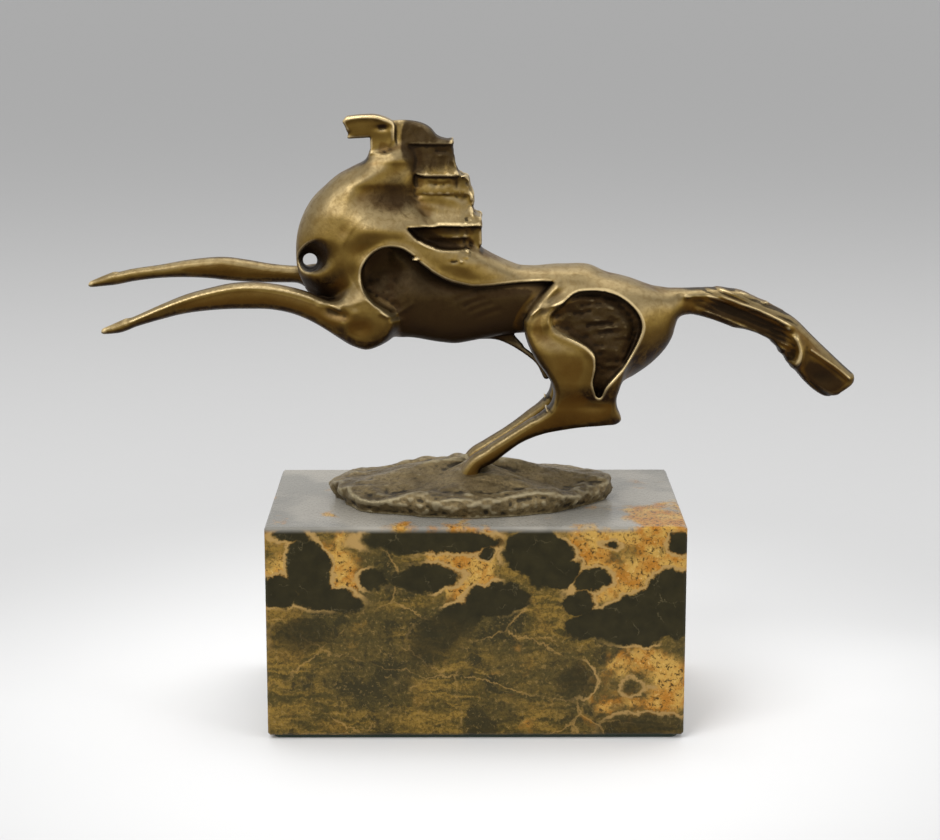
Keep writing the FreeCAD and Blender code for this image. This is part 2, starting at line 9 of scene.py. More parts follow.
import bmesh
import bpy
import numpy as np
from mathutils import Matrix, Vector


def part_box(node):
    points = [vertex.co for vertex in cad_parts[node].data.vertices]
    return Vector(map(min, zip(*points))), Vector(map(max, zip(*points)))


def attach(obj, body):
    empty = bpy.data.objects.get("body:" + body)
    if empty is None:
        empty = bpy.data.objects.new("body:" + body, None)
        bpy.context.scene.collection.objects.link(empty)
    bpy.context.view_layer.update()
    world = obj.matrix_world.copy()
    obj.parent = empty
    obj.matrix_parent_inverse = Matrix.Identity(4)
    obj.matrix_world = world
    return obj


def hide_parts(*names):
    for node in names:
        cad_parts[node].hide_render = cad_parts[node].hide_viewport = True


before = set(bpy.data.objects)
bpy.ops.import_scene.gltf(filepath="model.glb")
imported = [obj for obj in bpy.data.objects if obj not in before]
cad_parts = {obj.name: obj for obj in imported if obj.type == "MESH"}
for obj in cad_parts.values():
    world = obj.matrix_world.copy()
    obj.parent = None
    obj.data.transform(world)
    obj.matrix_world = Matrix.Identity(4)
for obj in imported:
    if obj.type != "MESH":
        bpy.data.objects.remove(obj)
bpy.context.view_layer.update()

import openvdb
from mathutils import Euler, Vector

MM = 0.001
STEP = 0.5  # the sculpting grid, in millimetres
CASTINGS = ("head_casting", "mane_casting", "body_casting", "tail_casting", "near_foreleg", "off_foreleg",
            "near_hind_leg", "off_hind_leg")
SIDES = {"near": -1.0, "off": 1.0}
EMPTY = 30.0  # what a field holds where nothing has been put, in millimetres


# ---------------------------------------------------------------- sculpting helpers
def box_mm(*nodes):
    """The box round some CAD nodes, in millimetres."""
    corners = [np.array(corner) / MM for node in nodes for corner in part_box(node)]
    return np.min(corners, axis=0), np.max(corners, axis=0)


def smooth_min(a, b, round_mm):
    """The lower of two distances, with the join between them softened."""
    return np.minimum(a, b) - np.maximum(round_mm - np.abs(a - b), 0) ** 2 / (4 * round_mm)


def smooth_max(a, b, round_mm):
    """The higher of two distances, with the join between them softened."""
    return np.maximum(a, b) + np.maximum(round_mm - np.abs(a - b), 0) ** 2 / (4 * round_mm)


def smooth_step(low, high, value):
    """Where value lies between low and high, from 0 to 1, eased at both ends."""
    share = np.clip((value - low) / (high - low), 0, 1)
    return share * share * (3 - 2 * share)


def curve(points, closed=True, spacing=1.0):
    """A smooth line through given points. A point given twice makes a corner."""
    points = np.array(points, float)
    count = len(points)
    spans = count if closed else count - 1
    line = []
    for number in range(spans):
        if closed:
            before, start, end, after = (points[(number + step) % count] for step in (-1, 0, 1, 2))
        else:
            before = points[max(number - 1, 0)]
            start = points[number]
            end = points[number + 1]
            after = points[min(number + 2, count - 1)]
        length = np.linalg.norm(end - start)
        if length == 0:
            continue
        share = np.linspace(0, 1, max(2, round(length / spacing)), endpoint=False)[:, None]
        # tangents scaled to the span, so uneven points don't overshoot
        slope_a = tangent(before, start, end) * length
        slope_b = tangent(start, end, after) * length
        a = 2 * share ** 3 - 3 * share ** 2 + 1
        b = share ** 3 - 2 * share ** 2 + share
        c = -2 * share ** 3 + 3 * share ** 2
        d = share ** 3 - share ** 2
        line.extend(a * start + b * slope_a + c * end + d * slope_b)
    if not closed:
        line.append(points[-1])
    return np.array(line)


def tangent(before, point, after):
    """The direction of a smooth line at a point, weighted towards its shorter side."""
    back = point - before
    on = after - point
    back_length = np.linalg.norm(back)
    on_length = np.linalg.norm(on)
    if back_length == 0:
        return on / on_length
    if on_length == 0:
        return back / back_length
    return (back / back_length * on_length + on / on_length * back_length) / (back_length + on_length)


def distance_to_line(line, x, z, closed=False):
    """Distance in the XZ plane to a line of points, and for a closed line which points are inside it."""
    best = np.full(np.broadcast(x, z).shape, 1e6, np.float32)
    inside = np.zeros(best.shape, bool)
    ends = np.roll(line, -1, axis=0) if closed else line[1:]
    for start, end in zip(line.astype(np.float32), ends.astype(np.float32)):
        run = end - start
        length2 = float(run @ run)
        if length2 == 0:
            continue
        share = np.clip(((x - start[0]) * run[0] + (z - start[1]) * run[1]) / length2, 0, 1)
        gap2 = (x - start[0] - share * run[0]) ** 2 + (z - start[1] - share * run[1]) ** 2
        np.minimum(best, gap2, out=best)
        if closed and run[1] != 0:
            level = (z >= start[1]) != (z >= end[1])
            inside ^= level & (x < start[0] + (z - start[1]) * (run[0] / run[1]))
    return np.sqrt(best), inside


def signed_distance(points, x, z):
    """Distance in the XZ plane to a smooth closed outline, negative inside it."""
    gap, inside = distance_to_line(curve(points), x, z, True)
    return np.where(inside, -gap, gap)


def outline_over(field, points):
    """The window over an outline and the distance to it, negative inside."""
    cut, x, y, z = field.over(points)
    return cut, x, y, z, signed_distance(points, x[:, 0, :], z[0])[:, None, :]


def blur(grid, passes):
    """A soft blur, each pass about 0.7 cells wide."""
    for _ in range(passes):
        for axis in (0, 1):
            padded = np.pad(grid, [(1, 1) if a == axis else (0, 0) for a in (0, 1)], mode="edge")
            take = [slice(None), slice(None)]
            parts = []
            for offset in (0, 1, 2):
                take[axis] = slice(offset, offset + grid.shape[axis])
                parts.append(padded[tuple(take)])
            grid = (parts[0] + 2 * parts[1] + parts[2]) / 4
    return grid


def puff(distance, cell):
    """The square of a soap film's height over an outline: a ball over a circle, a bar over a long strip."""
    inside = distance < 0
    height2 = np.where(inside, -distance * 4, 0).astype(np.float32)
    checker = np.indices(distance.shape).sum(0) % 2
    longest = max(2.0, float(-distance.min()) / cell * 2.4)
    relax = 2 / (1 + math.sin(math.pi / longest))
    for _ in range(int(longest * 3) + 20):
        for colour in (0, 1):
            around = np.zeros_like(height2)
            around[1:-1, 1:-1] = (height2[2:, 1:-1] + height2[:-2, 1:-1] + height2[1:-1, 2:]
                                  + height2[1:-1, :-2] + 4 * cell * cell) / 4
            change = inside & (checker == colour)
            height2 = np.where(change, height2 + relax * (around - height2), height2)
    # near the outline and outside it, the height follows the exact distance
    known = distance < -1.6 * cell
    slope = np.where(known, height2 / np.maximum(-distance, 1e-3), 0)
    first = slope.copy()
    weight = known.astype(np.float32)
    for _ in range(10):
        slope = blur(slope, 3)
        weight = blur(weight, 3)
        ratio = slope / np.maximum(weight, 1e-6)
        slope = np.where(known, first, np.where(weight > 1e-6, ratio, 0))
        weight = np.where(known, 1.0, (weight > 1e-6).astype(np.float32))
    slope = np.where(slope > 0, slope, first[known].mean())
    edge = np.maximum(-distance, -8.0) * slope
    deep = smooth_step(1.5 * cell, 4 * cell, -distance)
    return height2 * deep + edge * (1 - deep)


class Field:
    """A signed distance field in millimetres, negative inside the bronze, on a regular grid."""

    def __init__(self, low, high, step):
        self.step = step
        self.low = np.array(low, float)
        self.axes = [np.arange(a, b, step, dtype=np.float32) for a, b in zip(low, high)]
        self.f = np.full([len(axis) for axis in self.axes], EMPTY, np.float32)
        # uncut also holds extra shapes that only mark where shade is painted
        self.uncut = None  # the same field before anything was hollowed out of it

    def window(self, low, high):
        """The part of the grid between two corners, as slices and as X, Y and Z arrays."""
        cut = []
        for axis, a, b in zip(self.axes, low, high):
            start = min(int(np.searchsorted(axis, a)), len(axis) - 4)
            cut.append(slice(start, max(int(np.searchsorted(axis, b)), start + 4)))
        x, y, z = (axis[part] for axis, part in zip(self.axes, cut))
        return tuple(cut), x[:, None, None], y[None, :, None], z[None, None, :]

    def over(self, points, margin=3.0):
        """The window over an outline, at every Y."""
        corners = np.array(points, float)
        low = corners.min(0) - margin
        high = corners.max(0) + margin
        return self.window((low[0], -99, low[1]), (high[0], 99, high[1]))

    def add(self, cut, distance, round_mm):
        self.f[cut] = smooth_min(self.f[cut], distance, round_mm)

    def carve(self, cut, distance, round_mm):
        self.f[cut] = smooth_max(self.f[cut], -distance, round_mm)


def slab_distance(y, height2, cell):
    """Distance to the surface where y squared is height2(x, z), a map given in the XZ plane."""
    rise_x, rise_z = np.gradient(height2, cell)
    steep = (rise_x ** 2 + rise_z ** 2)[:, None, :] / 4
    return (y * y - height2[:, None, :]) / (2 * np.sqrt(y * y + steep + 0.05))


def pad_shape(field, points, middle_y, half_wide, puffy=1.0, round_mm=3.0, margin=9.0):
    """Adds a cushion-like form over an outline.

    Its sides are half_wide out, and puffy sets how full its edges are. half_wide is a number or a map over X
    and Z, and so is round_mm, the softness of its join.
    """
    cut, x, y, z = field.over(points, margin)
    x = x[:, 0, :]
    z = z[0]
    height2 = puff(signed_distance(points, x, z), field.step) * puffy ** 2
    wide = half_wide(x, z) if callable(half_wide) else np.float32(half_wide)
    full = wide ** 2 * (1 - np.exp(-np.maximum(height2, 0) / wide ** 2))
    height2 = np.where(height2 > 0, full, height2)
    if callable(round_mm):
        round_mm = round_mm(x, z)[:, None, :]
    field.add(cut, slab_distance(y - middle_y, height2.astype(np.float32), field.step), round_mm)


def rod_distance(spine, radii, x, y, z, flatten=1.0):
    """Distance to a tapered rod along a smooth line in space."""
    rows = np.array([(*point, radius) for point, radius in zip(spine, radii)])
    line = curve(rows, closed=False, spacing=2.0)
    best = np.full(np.broadcast(x, y, z).shape, 60, np.float32)
    for start, end in zip(line.astype(np.float32), line[1:].astype(np.float32)):
        run = (end - start)[:3] * (1, 1 / flatten, 1)
        gap = (x - start[0], (y - start[1]) / flatten, z - start[2])
        share = np.clip((gap[0] * run[0] + gap[1] * run[1] + gap[2] * run[2]) / max(run @ run, 1e-9), 0, 1)
        away = sum((g - share * r) ** 2 for g, r in zip(gap, run))
        np.minimum(best, np.sqrt(away) - (start[3] + share * (end[3] - start[3])), out=best)
    return best * min(1.0, flatten * 1.2)


def rod_shape(field, spine, radii, round_mm=3.0, flatten=1.0, carve=False):
    """Adds or carves a tapered rod along a smooth line. flatten below 1 makes it thinner across Y."""
    corners = np.array(spine, float)
    margin = max(radii) + 8
    cut, x, y, z = field.window(corners.min(0) - margin, corners.max(0) + margin)
    distance = rod_distance(spine, radii, x, y, z, flatten)
    if carve:
        field.carve(cut, distance, round_mm)
    else:
        field.add(cut, distance, round_mm)


def relief(field, points, height, side=0.0, margin=6.0):
    """Raises the skin round some points by height(x, z), on one side of the horse or on both."""
    cut, x, y, z = field.over(points, margin)
    rise = height(x[:, 0, :], z[0])[:, None, :]
    if side:
        rise = rise * smooth_step(1, 3, y * side)
    field.f[cut] -= rise


def ridge(field, points, high, wide, side=0.0, fade=True):
    """A soft raised line through some points, or a groove where high is below zero."""
    line = curve(points, closed=False)

    def height(x, z):
        gap = distance_to_line(line, x, z)[0]
        rise = high * np.exp(-(gap / wide) ** 2)
        if fade:
            ends = [np.hypot(x - end[0], z - end[1]) for end in (line[0], line[-1])]
            rise = rise * smooth_step(0, 2.5 * wide, np.minimum(*ends))
        return rise

    relief(field, points, height, side, margin=3 * wide)


def dent(field, place, high, reach_x, reach_z, side=0.0):
    """A soft raised or, with high below zero, hollowed patch round a place."""
    reach = np.array((reach_x, reach_z)) * 2
    corners = [place - reach, place + reach]

    def height(x, z):
        return high * np.exp(-((x - place[0]) / reach_x) ** 2 - ((z - place[1]) / reach_z) ** 2)

    relief(field, corners, height, side, margin=0)


def steps(pairs, value):
    """A smooth curve through (place, height) pairs, read at value."""
    value = np.asarray(value, np.float32)
    out = np.full(value.shape, pairs[0][1], np.float32)
    for (a, low), (b, high) in zip(pairs, pairs[1:]):
        out = out + (high - low) * smooth_step(a, b, value)
    return out


def along_x(*pairs):
    """A map over the XZ plane that follows (X, value) pairs."""
    return lambda x, z: steps(pairs, x) + 0 * z


def along_z(*pairs):
    """A map over the XZ plane that follows (Z, value) pairs."""
    return lambda x, z: steps(pairs, z) + 0 * x


def value_noise(shape, cells, seed):
    """Smooth random values from -1 to 1 over an array of that shape, with so many cells along each axis."""
    random = np.random.default_rng(seed)
    grid = random.uniform(-1, 1, [count + 3 for count in cells]).astype(np.float32)
    for axis, (size, count) in enumerate(zip(shape, cells)):
        place = np.linspace(0, count, size, endpoint=False, dtype=np.float32) + 1
        index = place.astype(int)
        share = place - index
        share = share * share * (3 - 2 * share)
        shares = share.reshape([-1 if a == axis else 1 for a in range(len(shape))])
        grid = np.take(grid, index, axis) * (1 - shares) + np.take(grid, index + 1, axis) * shares
    return grid


def noise_mm(window, size, seed, detail=2):
    """Noise over a window of a field. size is the grain along X, Y and Z in millimetres."""
    spans = [float(axis.max() - axis.min()) for axis in window]
    shape = np.broadcast(*window).shape
    total = np.zeros(shape, np.float32)
    for octave in range(detail):
        cells = [max(1, round(span / grain * 2 ** octave)) for span, grain in zip(spans, size)]
        total += value_noise(shape, cells, seed + octave) / 2 ** octave
    return total


# ---------------------------------------------------------------- outlines, as (X, Z) in millimetres
NECK = [(-37.7, 208.5), (-39.7, 204.8), (-44.1, 202.4), (-49.8, 199.3), (-54.4, 195.4), (-58.9, 191),
        (-62.3, 185.4), (-64.6, 178.7), (-65.3, 172), (-64.6, 164), (-61, 157), (-54, 151.5), (-46, 150),
        (-36, 150), (-22, 155), (-15, 163), (-13, 173), (-16, 184), (-19.5, 194), (-20.5, 202),
        (-22, 209), (-27.5, 212), (-30.5, 210.5)]
BACK = [(-40, 186), (-22, 184), (-8, 179), (0, 174), (7.5, 169.6), (14.5, 166.6), (21.5, 165.2),
        (31.9, 165.0), (42.4, 164.2), (44, 158), (36, 154), (27, 153), (16, 154), (2, 152), (-14, 152),
        (-30, 152), (-44, 160), (-48, 175)]
BARREL = [(-42, 150), (-36, 143), (-30.6, 140.2), (-23.1, 139.8), (-12.9, 138.1), (-7, 137.6),
          (-1.5, 138.5), (5, 139.8), (12, 141), (22, 142), (32, 146), (36, 156), (28, 162), (10, 163.4),
          (-8, 165), (-20, 171.4), (-30, 176.6), (-38, 174.6), (-43, 164)]
HAUNCH = [(20, 160.5), (27, 164), (36, 164.6), (46, 163.7), (56, 161.6), (63, 159.1), (69, 157.2),
          (74.8, 156.2), (78, 155), (78, 150), (74.8, 147.6), (73.4, 143.9), (72.5, 140.4), (70.4, 136.4),
          (66.4, 131.8), (61.0, 127.4), (56.4, 124.6), (51, 124), (45, 126.5), (38, 132), (30, 139),
          (24, 146), (20.5, 152)]
HIND_LEG = [(17.8, 148), (17.7, 144), (18.9, 139.4), (22.3, 132.8), (25.7, 128.1), (27.7, 124.4),
            (28.4, 121), (27.6, 117.4), (24.4, 114.2), (19, 110.6), (12, 106.0), (4, 100.9), (-2.1, 96.9),
            (-5, 93), (-7, 88), (2.6, 86), (1.9, 92.3), (6.5, 94.9), (11, 98.4), (16.4, 102.3),
            (24, 105.6), (31.9, 107.4), (38, 108.4), (46.9, 109.1), (52.0, 109.8), (53.2, 111.0),
            (52.8, 113), (51.7, 116), (51.5, 119), (52.4, 122.6), (54, 128), (55, 136), (54, 146),
            (49, 152), (40, 155), (30, 154.6), (22, 152)]
FLANK = [(-30.3, 151.8), (-30.3, 151.8), (-36.8, 155.6), (-40.4, 160.4), (-40.9, 164.8), (-39.2, 169.4),
         (-36.3, 172.6), (-33.4, 174.2), (-29.8, 174.7), (-26.2, 174.0), (-23.4, 172.4), (-19.6, 168.8),
         (-15.3, 165.4), (-9.5, 162.2), (-4.8, 160.8), (-1.6, 160.1), (3.2, 160.0), (9.6, 160.4),
         (15.9, 160.9), (24.0, 161.3), (28.6, 161.4), (28.6, 161.4), (21.8, 154.2), (17.4, 150.2),
         (15, 146), (14, 132), (0, 130), (-20, 130), (-28, 137), (-28.5, 145)]
BOWL = [(-30.3, 151.2), (-30.3, 151.2), (-36.8, 155.2), (-40.4, 160.4), (-40.9, 164.8), (-39.2, 169.4),
        (-36.3, 172.6), (-33.4, 174.2), (-29.8, 174.7), (-26.2, 174.0), (-24.2, 172.2), (-21.4, 168),
        (-19.4, 163), (-19.6, 158), (-21.6, 155.2), (-24.5, 153.0)]
SCOOP = [(26.8, 149.8), (28.6, 152), (32.3, 155.3), (36.2, 157.8), (41.3, 158.5), (46.8, 158.1),
         (51.6, 156.5), (55.9, 153.5), (58.9, 149.8), (60.1, 145.4), (58.9, 141), (57.0, 137),
         (54.2, 132.5), (50.6, 128.6), (47, 124.5), (44.8, 121), (42.5, 125), (43.2, 132.3),
         (42.4, 136.4), (40.2, 138.7), (36.4, 140.9), (31.6, 143), (28.3, 144.6), (26.8, 147.2)]
NEAR_FORELEG = [(-135.1, 143.6), (-130.3, 146), (-122.1, 149.6), (-112.3, 154.1), (-104.2, 157.4),
                (-96.1, 159.6), (-88, 161.4), (-77.6, 161.7), (-69.6, 160.6), (-61.6, 158.6),
                (-53.6, 155.7), (-46, 155), (-38, 156.5), (-31.5, 154), (-29.4, 148), (-31.6, 142.3),
                (-35.7, 139.0), (-39.4, 137.7), (-43.2, 138.7), (-49.7, 142.1), (-57.7, 147),
                (-65.8, 150.5), (-73.8, 152.1), (-81.8, 152.3), (-93.9, 151.9), (-106, 150.3),
                (-114.1, 148.2), (-122.2, 145.8), (-129.1, 143.4)]
OFF_FORELEG = [(-143.8, 156.6), (-138.1, 159.7), (-129.7, 162.3), (-117.2, 164.3), (-104.7, 166.4),
               (-92.3, 167.2), (-84, 166.1), (-75.8, 164.7), (-65.9, 163.9), (-52, 164.5), (-46, 161),
               (-50, 157.5), (-67.7, 157.7), (-81.7, 157.9), (-90.8, 158.5), (-99.1, 159.4),
               (-107.4, 159.7), (-115.7, 159.5), (-125.7, 158.4), (-135.8, 156.6)]
OFF_ELBOW = [(-62, 158), (-50, 160), (-38, 157), (-31.5, 154), (-29.4, 148), (-31.6, 142.6),
             (-35.7, 139.6), (-39.4, 138.7), (-43.2, 139.7), (-49.7, 143.5), (-57, 149.5)]
SHOULDER_WEB = [(-48.5, 153), (-46, 159), (-40, 163), (-34, 158), (-31, 152), (-30.5, 146), (-34, 141.5),
                (-40, 140.5), (-45.5, 143), (-48, 148)]
HEAD = [(-47.9, 218.6), (-47.9, 218.6), (-46.4, 220.2), (-46.4, 220.2), (-41, 220.6), (-35, 220.5),
        (-31.5, 219.3), (-29.6, 218.2), (-29.0, 213), (-29.0, 203), (-37.8, 203), (-37.8, 207.7),
        (-37.9, 212.8), (-37.9, 212.8), (-46.0, 212.3), (-46.0, 212.3), (-46.7, 216.2)]
MANE = [(-28.6, 204), (-28.8, 213), (-30.2, 218.6), (-30.2, 218.6), (-27.6, 218.9), (-15.7, 215.5),
        (-14.2, 213.6), (-10.3, 212.0), (-8.2, 211.9), (-8.2, 211.9), (-7.8, 206), (-7.0, 202.1),
        (-4.8, 199.4), (-3.6, 199.3), (-1.6, 195), (-0.5, 191.1), (-1.2, 187), (-3.1, 182.6), (-3, 172),
        (-24, 172), (-26, 190)]
MANE_SHADOW = [(-26, 220), (-14, 217.5), (-6, 211), (-5, 199.4), (-12, 198), (-27, 199), (-28, 210)]
BRIM = [(-29, 182.6), (-29, 182.6), (-20, 181.8), (-8, 181.4), (2.0, 181.2), (2.0, 181.2), (1.6, 183.5),
        (-1, 185.6), (-3.3, 187.7), (-26, 189.2), (-29.5, 186.2)]
WITHERS = [(-26, 188), (-6, 186), (2.2, 184.4), (2.2, 184.4), (2.4, 174.4), (2.4, 174.4), (-4, 168),
           (-26, 168)]
RECESS = [(-24.5, 181.4), (-24.5, 181.4), (-21.5, 177.8), (-15.2, 174.3), (-5.3, 173.3), (1.5, 174.8),
          (7, 177.6), (7, 181.0), (-10, 181.2)]
TAIL = [(66, 156.8), (71.6, 157), (82.7, 157.9), (91.8, 157.9), (96.3, 157.1), (103, 154.2),
        (111.1, 150.5), (118.5, 145.5), (122.6, 141.4), (128.4, 135.8), (134.2, 130.5), (139.7, 125.5),
        (139.7, 125.5), (139.8, 123.4), (135, 119.2), (132.1, 117.2), (129.5, 117.3), (125.4, 119.3),
        (120.7, 123.2), (117.4, 127.4), (114, 130.7), (111.6, 134), (110.1, 136.1), (104.5, 140.1),
        (94.2, 143.5), (85.9, 146.3), (77.4, 148.4), (66, 148)]
TAIL_HOLLOW = [(76, 155.6), (86, 155.2), (95, 152.8), (106, 148.8), (112, 145.4), (116.4, 140),
               (116.4, 132), (111, 136), (103, 140.4), (94, 144.5), (82, 148.5)]
TAIL_END = [(120.4, 136.4), (126, 132.6), (132, 128), (138, 122.8), (132, 117.8), (124, 120.6),
            (119, 127)]


# ---------------------------------------------------------------- the horse's forms
def shade_under(field, shape, *places, **sizes):
    """Adds a shape to the uncut form alone, so that the skin under it gets painted shade as a hollow."""
    horse = field.f
    field.f = field.uncut
    shape(field, *places, **sizes)
    field.uncut = field.f
    field.f = horse


def sculpt_trunk(field):
    """Neck and shoulders, the back, the haunches and thighs."""
    neck_wide = along_z((146, 14), (158, 19.5), (170, 21), (184, 18.5), (196, 12.5), (204, 7.5), (210, 5.2))
    back_wide = along_x((-40, 18.5), (-20, 17.5), (-4, 16), (12, 15.5), (30, 18))
    haunch_wide = along_x((18, 17), (30, 21), (44, 23), (58, 21), (70, 13), (78, 7))
    leg_wide = along_z((96, 4.7), (108, 5.0), (116, 6.2), (126, 8.2), (136, 8.2), (146, 5.5), (155, 4.0))
    pad_shape(field, NECK, 0, neck_wide, puffy=0.8, round_mm=2)
    pad_shape(field, BACK, 0, back_wide, puffy=1.15, round_mm=7)
    pad_shape(field, HAUNCH, 0, haunch_wide, puffy=1.0, round_mm=7)
    for side, drop in ((SIDES["near"], 0.0), (SIDES["off"], -2.6)):
        outline = [(x, z + drop * min(1.0, max(0.0, (34 - x) / 20)) * (z < 130)) for x, z in HIND_LEG]
        pad_shape(field, outline, side * 12.4, leg_wide, puffy=1.0, round_mm=5)
    field.uncut = field.f.copy()
    # painted shadow: the recess under each flank's rim is painted dark
    shade_under(field, pad_shape, FLANK, 0, 21, puffy=2.6, round_mm=2)


def sculpt_neck(field):
    """The ridge from the throat, the hollow behind it, the ridge to the withers and the pierced chest."""
    ridge(field, [(-23, 208), (-33, 202.6), (-42, 197), (-50, 189)], 1.0, 3.0)
    dent(field, (-28.5, 192.5), -3.2, 11, 7.5)
    ridge(field, [(-47, 180.2), (-38, 181.2), (-27, 181.2), (-20, 180.8)], 0.9, 3.4)
    dent(field, (-40, 173), -0.8, 7, 4)
    dent(field, (-47, 158), -0.8, 6, 3)
    for side in SIDES.values():
        # the hollow sweeps up and back from the hole
        rod_shape(field, [(-60.3, side * 3, 168), (-60.4, side * 8.5, 169.8), (-58.2, side * 14.0, 173.6),
                          (-54, side * 18.6, 177.6)], [2.9, 3.5, 3.1, 1.9], 1.0, carve=True)
        rod_shape(field, [(-59.4, side * 7, 168), (-56.2, side * 14.6, 170.4), (-52.8, side * 19.9, 173)],
                  [2.4, 3.4, 2.6], 4.0, carve=True)
    rod_shape(field, [(-60.3, -16, 168), (-60.3, 16, 168)], [2.6, 2.6], 0.8, carve=True)


def sculpt_flanks(field):
    """The recess along each flank under a polished rim, and the barrel inside it."""
    cut, x, y, z, flank = outline_over(field, FLANK)
    upper = smooth_step(150, 156, z) * smooth_step(26, 16, x)
    field.f[cut] -= 0.4 * upper * np.exp(-((flank - 0.8) / 1.2) ** 2)
    field.carve(cut, smooth_max(flank, 4.5 - np.abs(y), 2.0), 0.9)

    def barrel_wide(x, z):
        wide = steps([(-40, 15.5), (-24, 15.0), (-12, 13), (10, 12.2), (30, 13)], x)
        return wide - 5 * smooth_step(155, 168, z)

    pad_shape(field, BARREL, 0, barrel_wide, puffy=1.0, round_mm=1.6)
    for side in SIDES.values():
        # chisel strokes on the barrel
        for x0, z0, deep in ((-4, 156.6, 0.25), (-0.6, 154.4, 0.35), (1.4, 152.5, 0.25), (4.5, 150.2, 0.2)):
            ridge(field, [(x0 - 5, z0 - 2.2), (x0, z0), (x0 + 6, z0 + 1.8)], -deep, 0.9, side)


def sculpt_bowls(field):
    """The bowl behind each shoulder, cut into the flank and the elbow alike."""
    cut, x, y, z, bowl = outline_over(field, BOWL)
    floor = 7.5 + 5.0 * smooth_step(167, 152, z) + 8.0 * smooth_step(-32, -21, x)
    rough = noise_mm((x, y, z), (2.6, 9.0, 2.2), 11) * smooth_step(167, 159, z) * 0.5
    soft = 0.9 + 5.0 * smooth_step(-35, -27, x) * smooth_step(171, 165, z)
    field.carve(cut, smooth_max(bowl, floor + rough - np.abs(y), 3.6), soft)
    for side in SIDES.values():
        ridge(field, [(-35.5, 152.6), (-30.3, 150.4), (-25, 152.4), (-21.5, 155.0)], 0.35, 0.9, side)


def sculpt_haunches(field):
    """The folds in front of each thigh, its deep scoop with a polished lip, and the dent above the hock."""
    ridge(field, [(18.0, 149.0), (21.8, 152.6), (26, 156.8), (31.5, 161.8)], 0.7, 1.3)
    ridge(field, [(20.5, 144.0), (24.5, 146.4), (26.0, 150.4), (32, 156.4)], 0.4, 1.9)
    cut, x, y, z, scoop = outline_over(field, SCOOP)
    field.f[cut] -= 0.2 * np.exp(-((scoop - 0.8) / 1.3) ** 2) * smooth_step(126, 134, z)
    surface = blur(np.where(field.f[cut] < 0, np.abs(y), 0).max(axis=1), 5)[:, None, :]
    cut_in = 4.6 - 3.2 * smooth_step(42, 27, x)
    marks = noise_mm((x, y, z), (5.0, 40.0, 1.5), 5) * 0.28
    marks = marks + noise_mm((x, y, z), (1.8, 40.0, 1.6), 9) * 0.16
    field.carve(cut, smooth_max(scoop, surface - cut_in + marks - np.abs(y), 3.0), 0.8)
    field.f[cut] -= 0.25 * np.exp(-((scoop + 1.9) / 0.6) ** 2) * smooth_step(50, 55, x)
    for side in SIDES.values():
        for x0, z0, long_mm in ((37, 150.6, 6), (43, 146.2, 8), (46, 143.4, 5), (40, 153.4, 7)):
            ridge(field, [(x0 - long_mm / 2, z0 - 0.5), (x0, z0), (x0 + long_mm, z0 + 0.6)], -0.6, 0.8, side)
        # the polished lip that divides the scoop from the thigh runs down into the leg
        ridge(field, [(26, 146.4), (30, 143.0), (36.4, 140.6), (41.6, 137.2), (43.2, 132)], 0.3, 1.7, side)
        dent(field, (43, 118.5), -1.0, 6, 4.5, side)
        ridge(field, [(22, 112.0), (14, 106.8), (4, 100.8)], 0.3, 0.9, side)


def sculpt_withers(field):
    """The brim under the mane, and the dark recess cut in below it."""
    cut, x, y, z, block = outline_over(field, WITHERS)
    field.add(cut, smooth_max(block, np.abs(y) - 7.2, 1.5), 2.0)
    cut, x, y, z, recess = outline_over(field, RECESS)
    field.carve(cut, smooth_max(recess, 7.6 - np.abs(y), 2.5), 0.9)
    cut, x, y, z, brim = outline_over(field, BRIM)
    share = np.clip((z - 181.8) / 8.0, 0, 1)
    half = 6.4 + 4.6 * (1 - share) ** 1.5 - 2.0 * smooth_step(-6, 2, x)
    field.add(cut, smooth_max(brim, np.abs(y) - half, 1.2), 1.2)
    for side in SIDES.values():
        ridge(field, [(-21, 177.4), (-17.5, 175.3), (-13.5, 174.2)], 0.3, 0.7, side)
    rod_shape(field, [(-1.0, 6.5, 183.6), (1.2, 7.5, 183.8)], [1.7, 1.5], 0.8)
    for start, end in (((-14, 169.0), (0, 166.6)), ((-2, 170.0), (16, 165.0))):
        ridge(field, [start, ((start[0] + end[0]) / 2, (start[1] + end[1]) / 2 + 0.5), end], 0.2, 1.8)


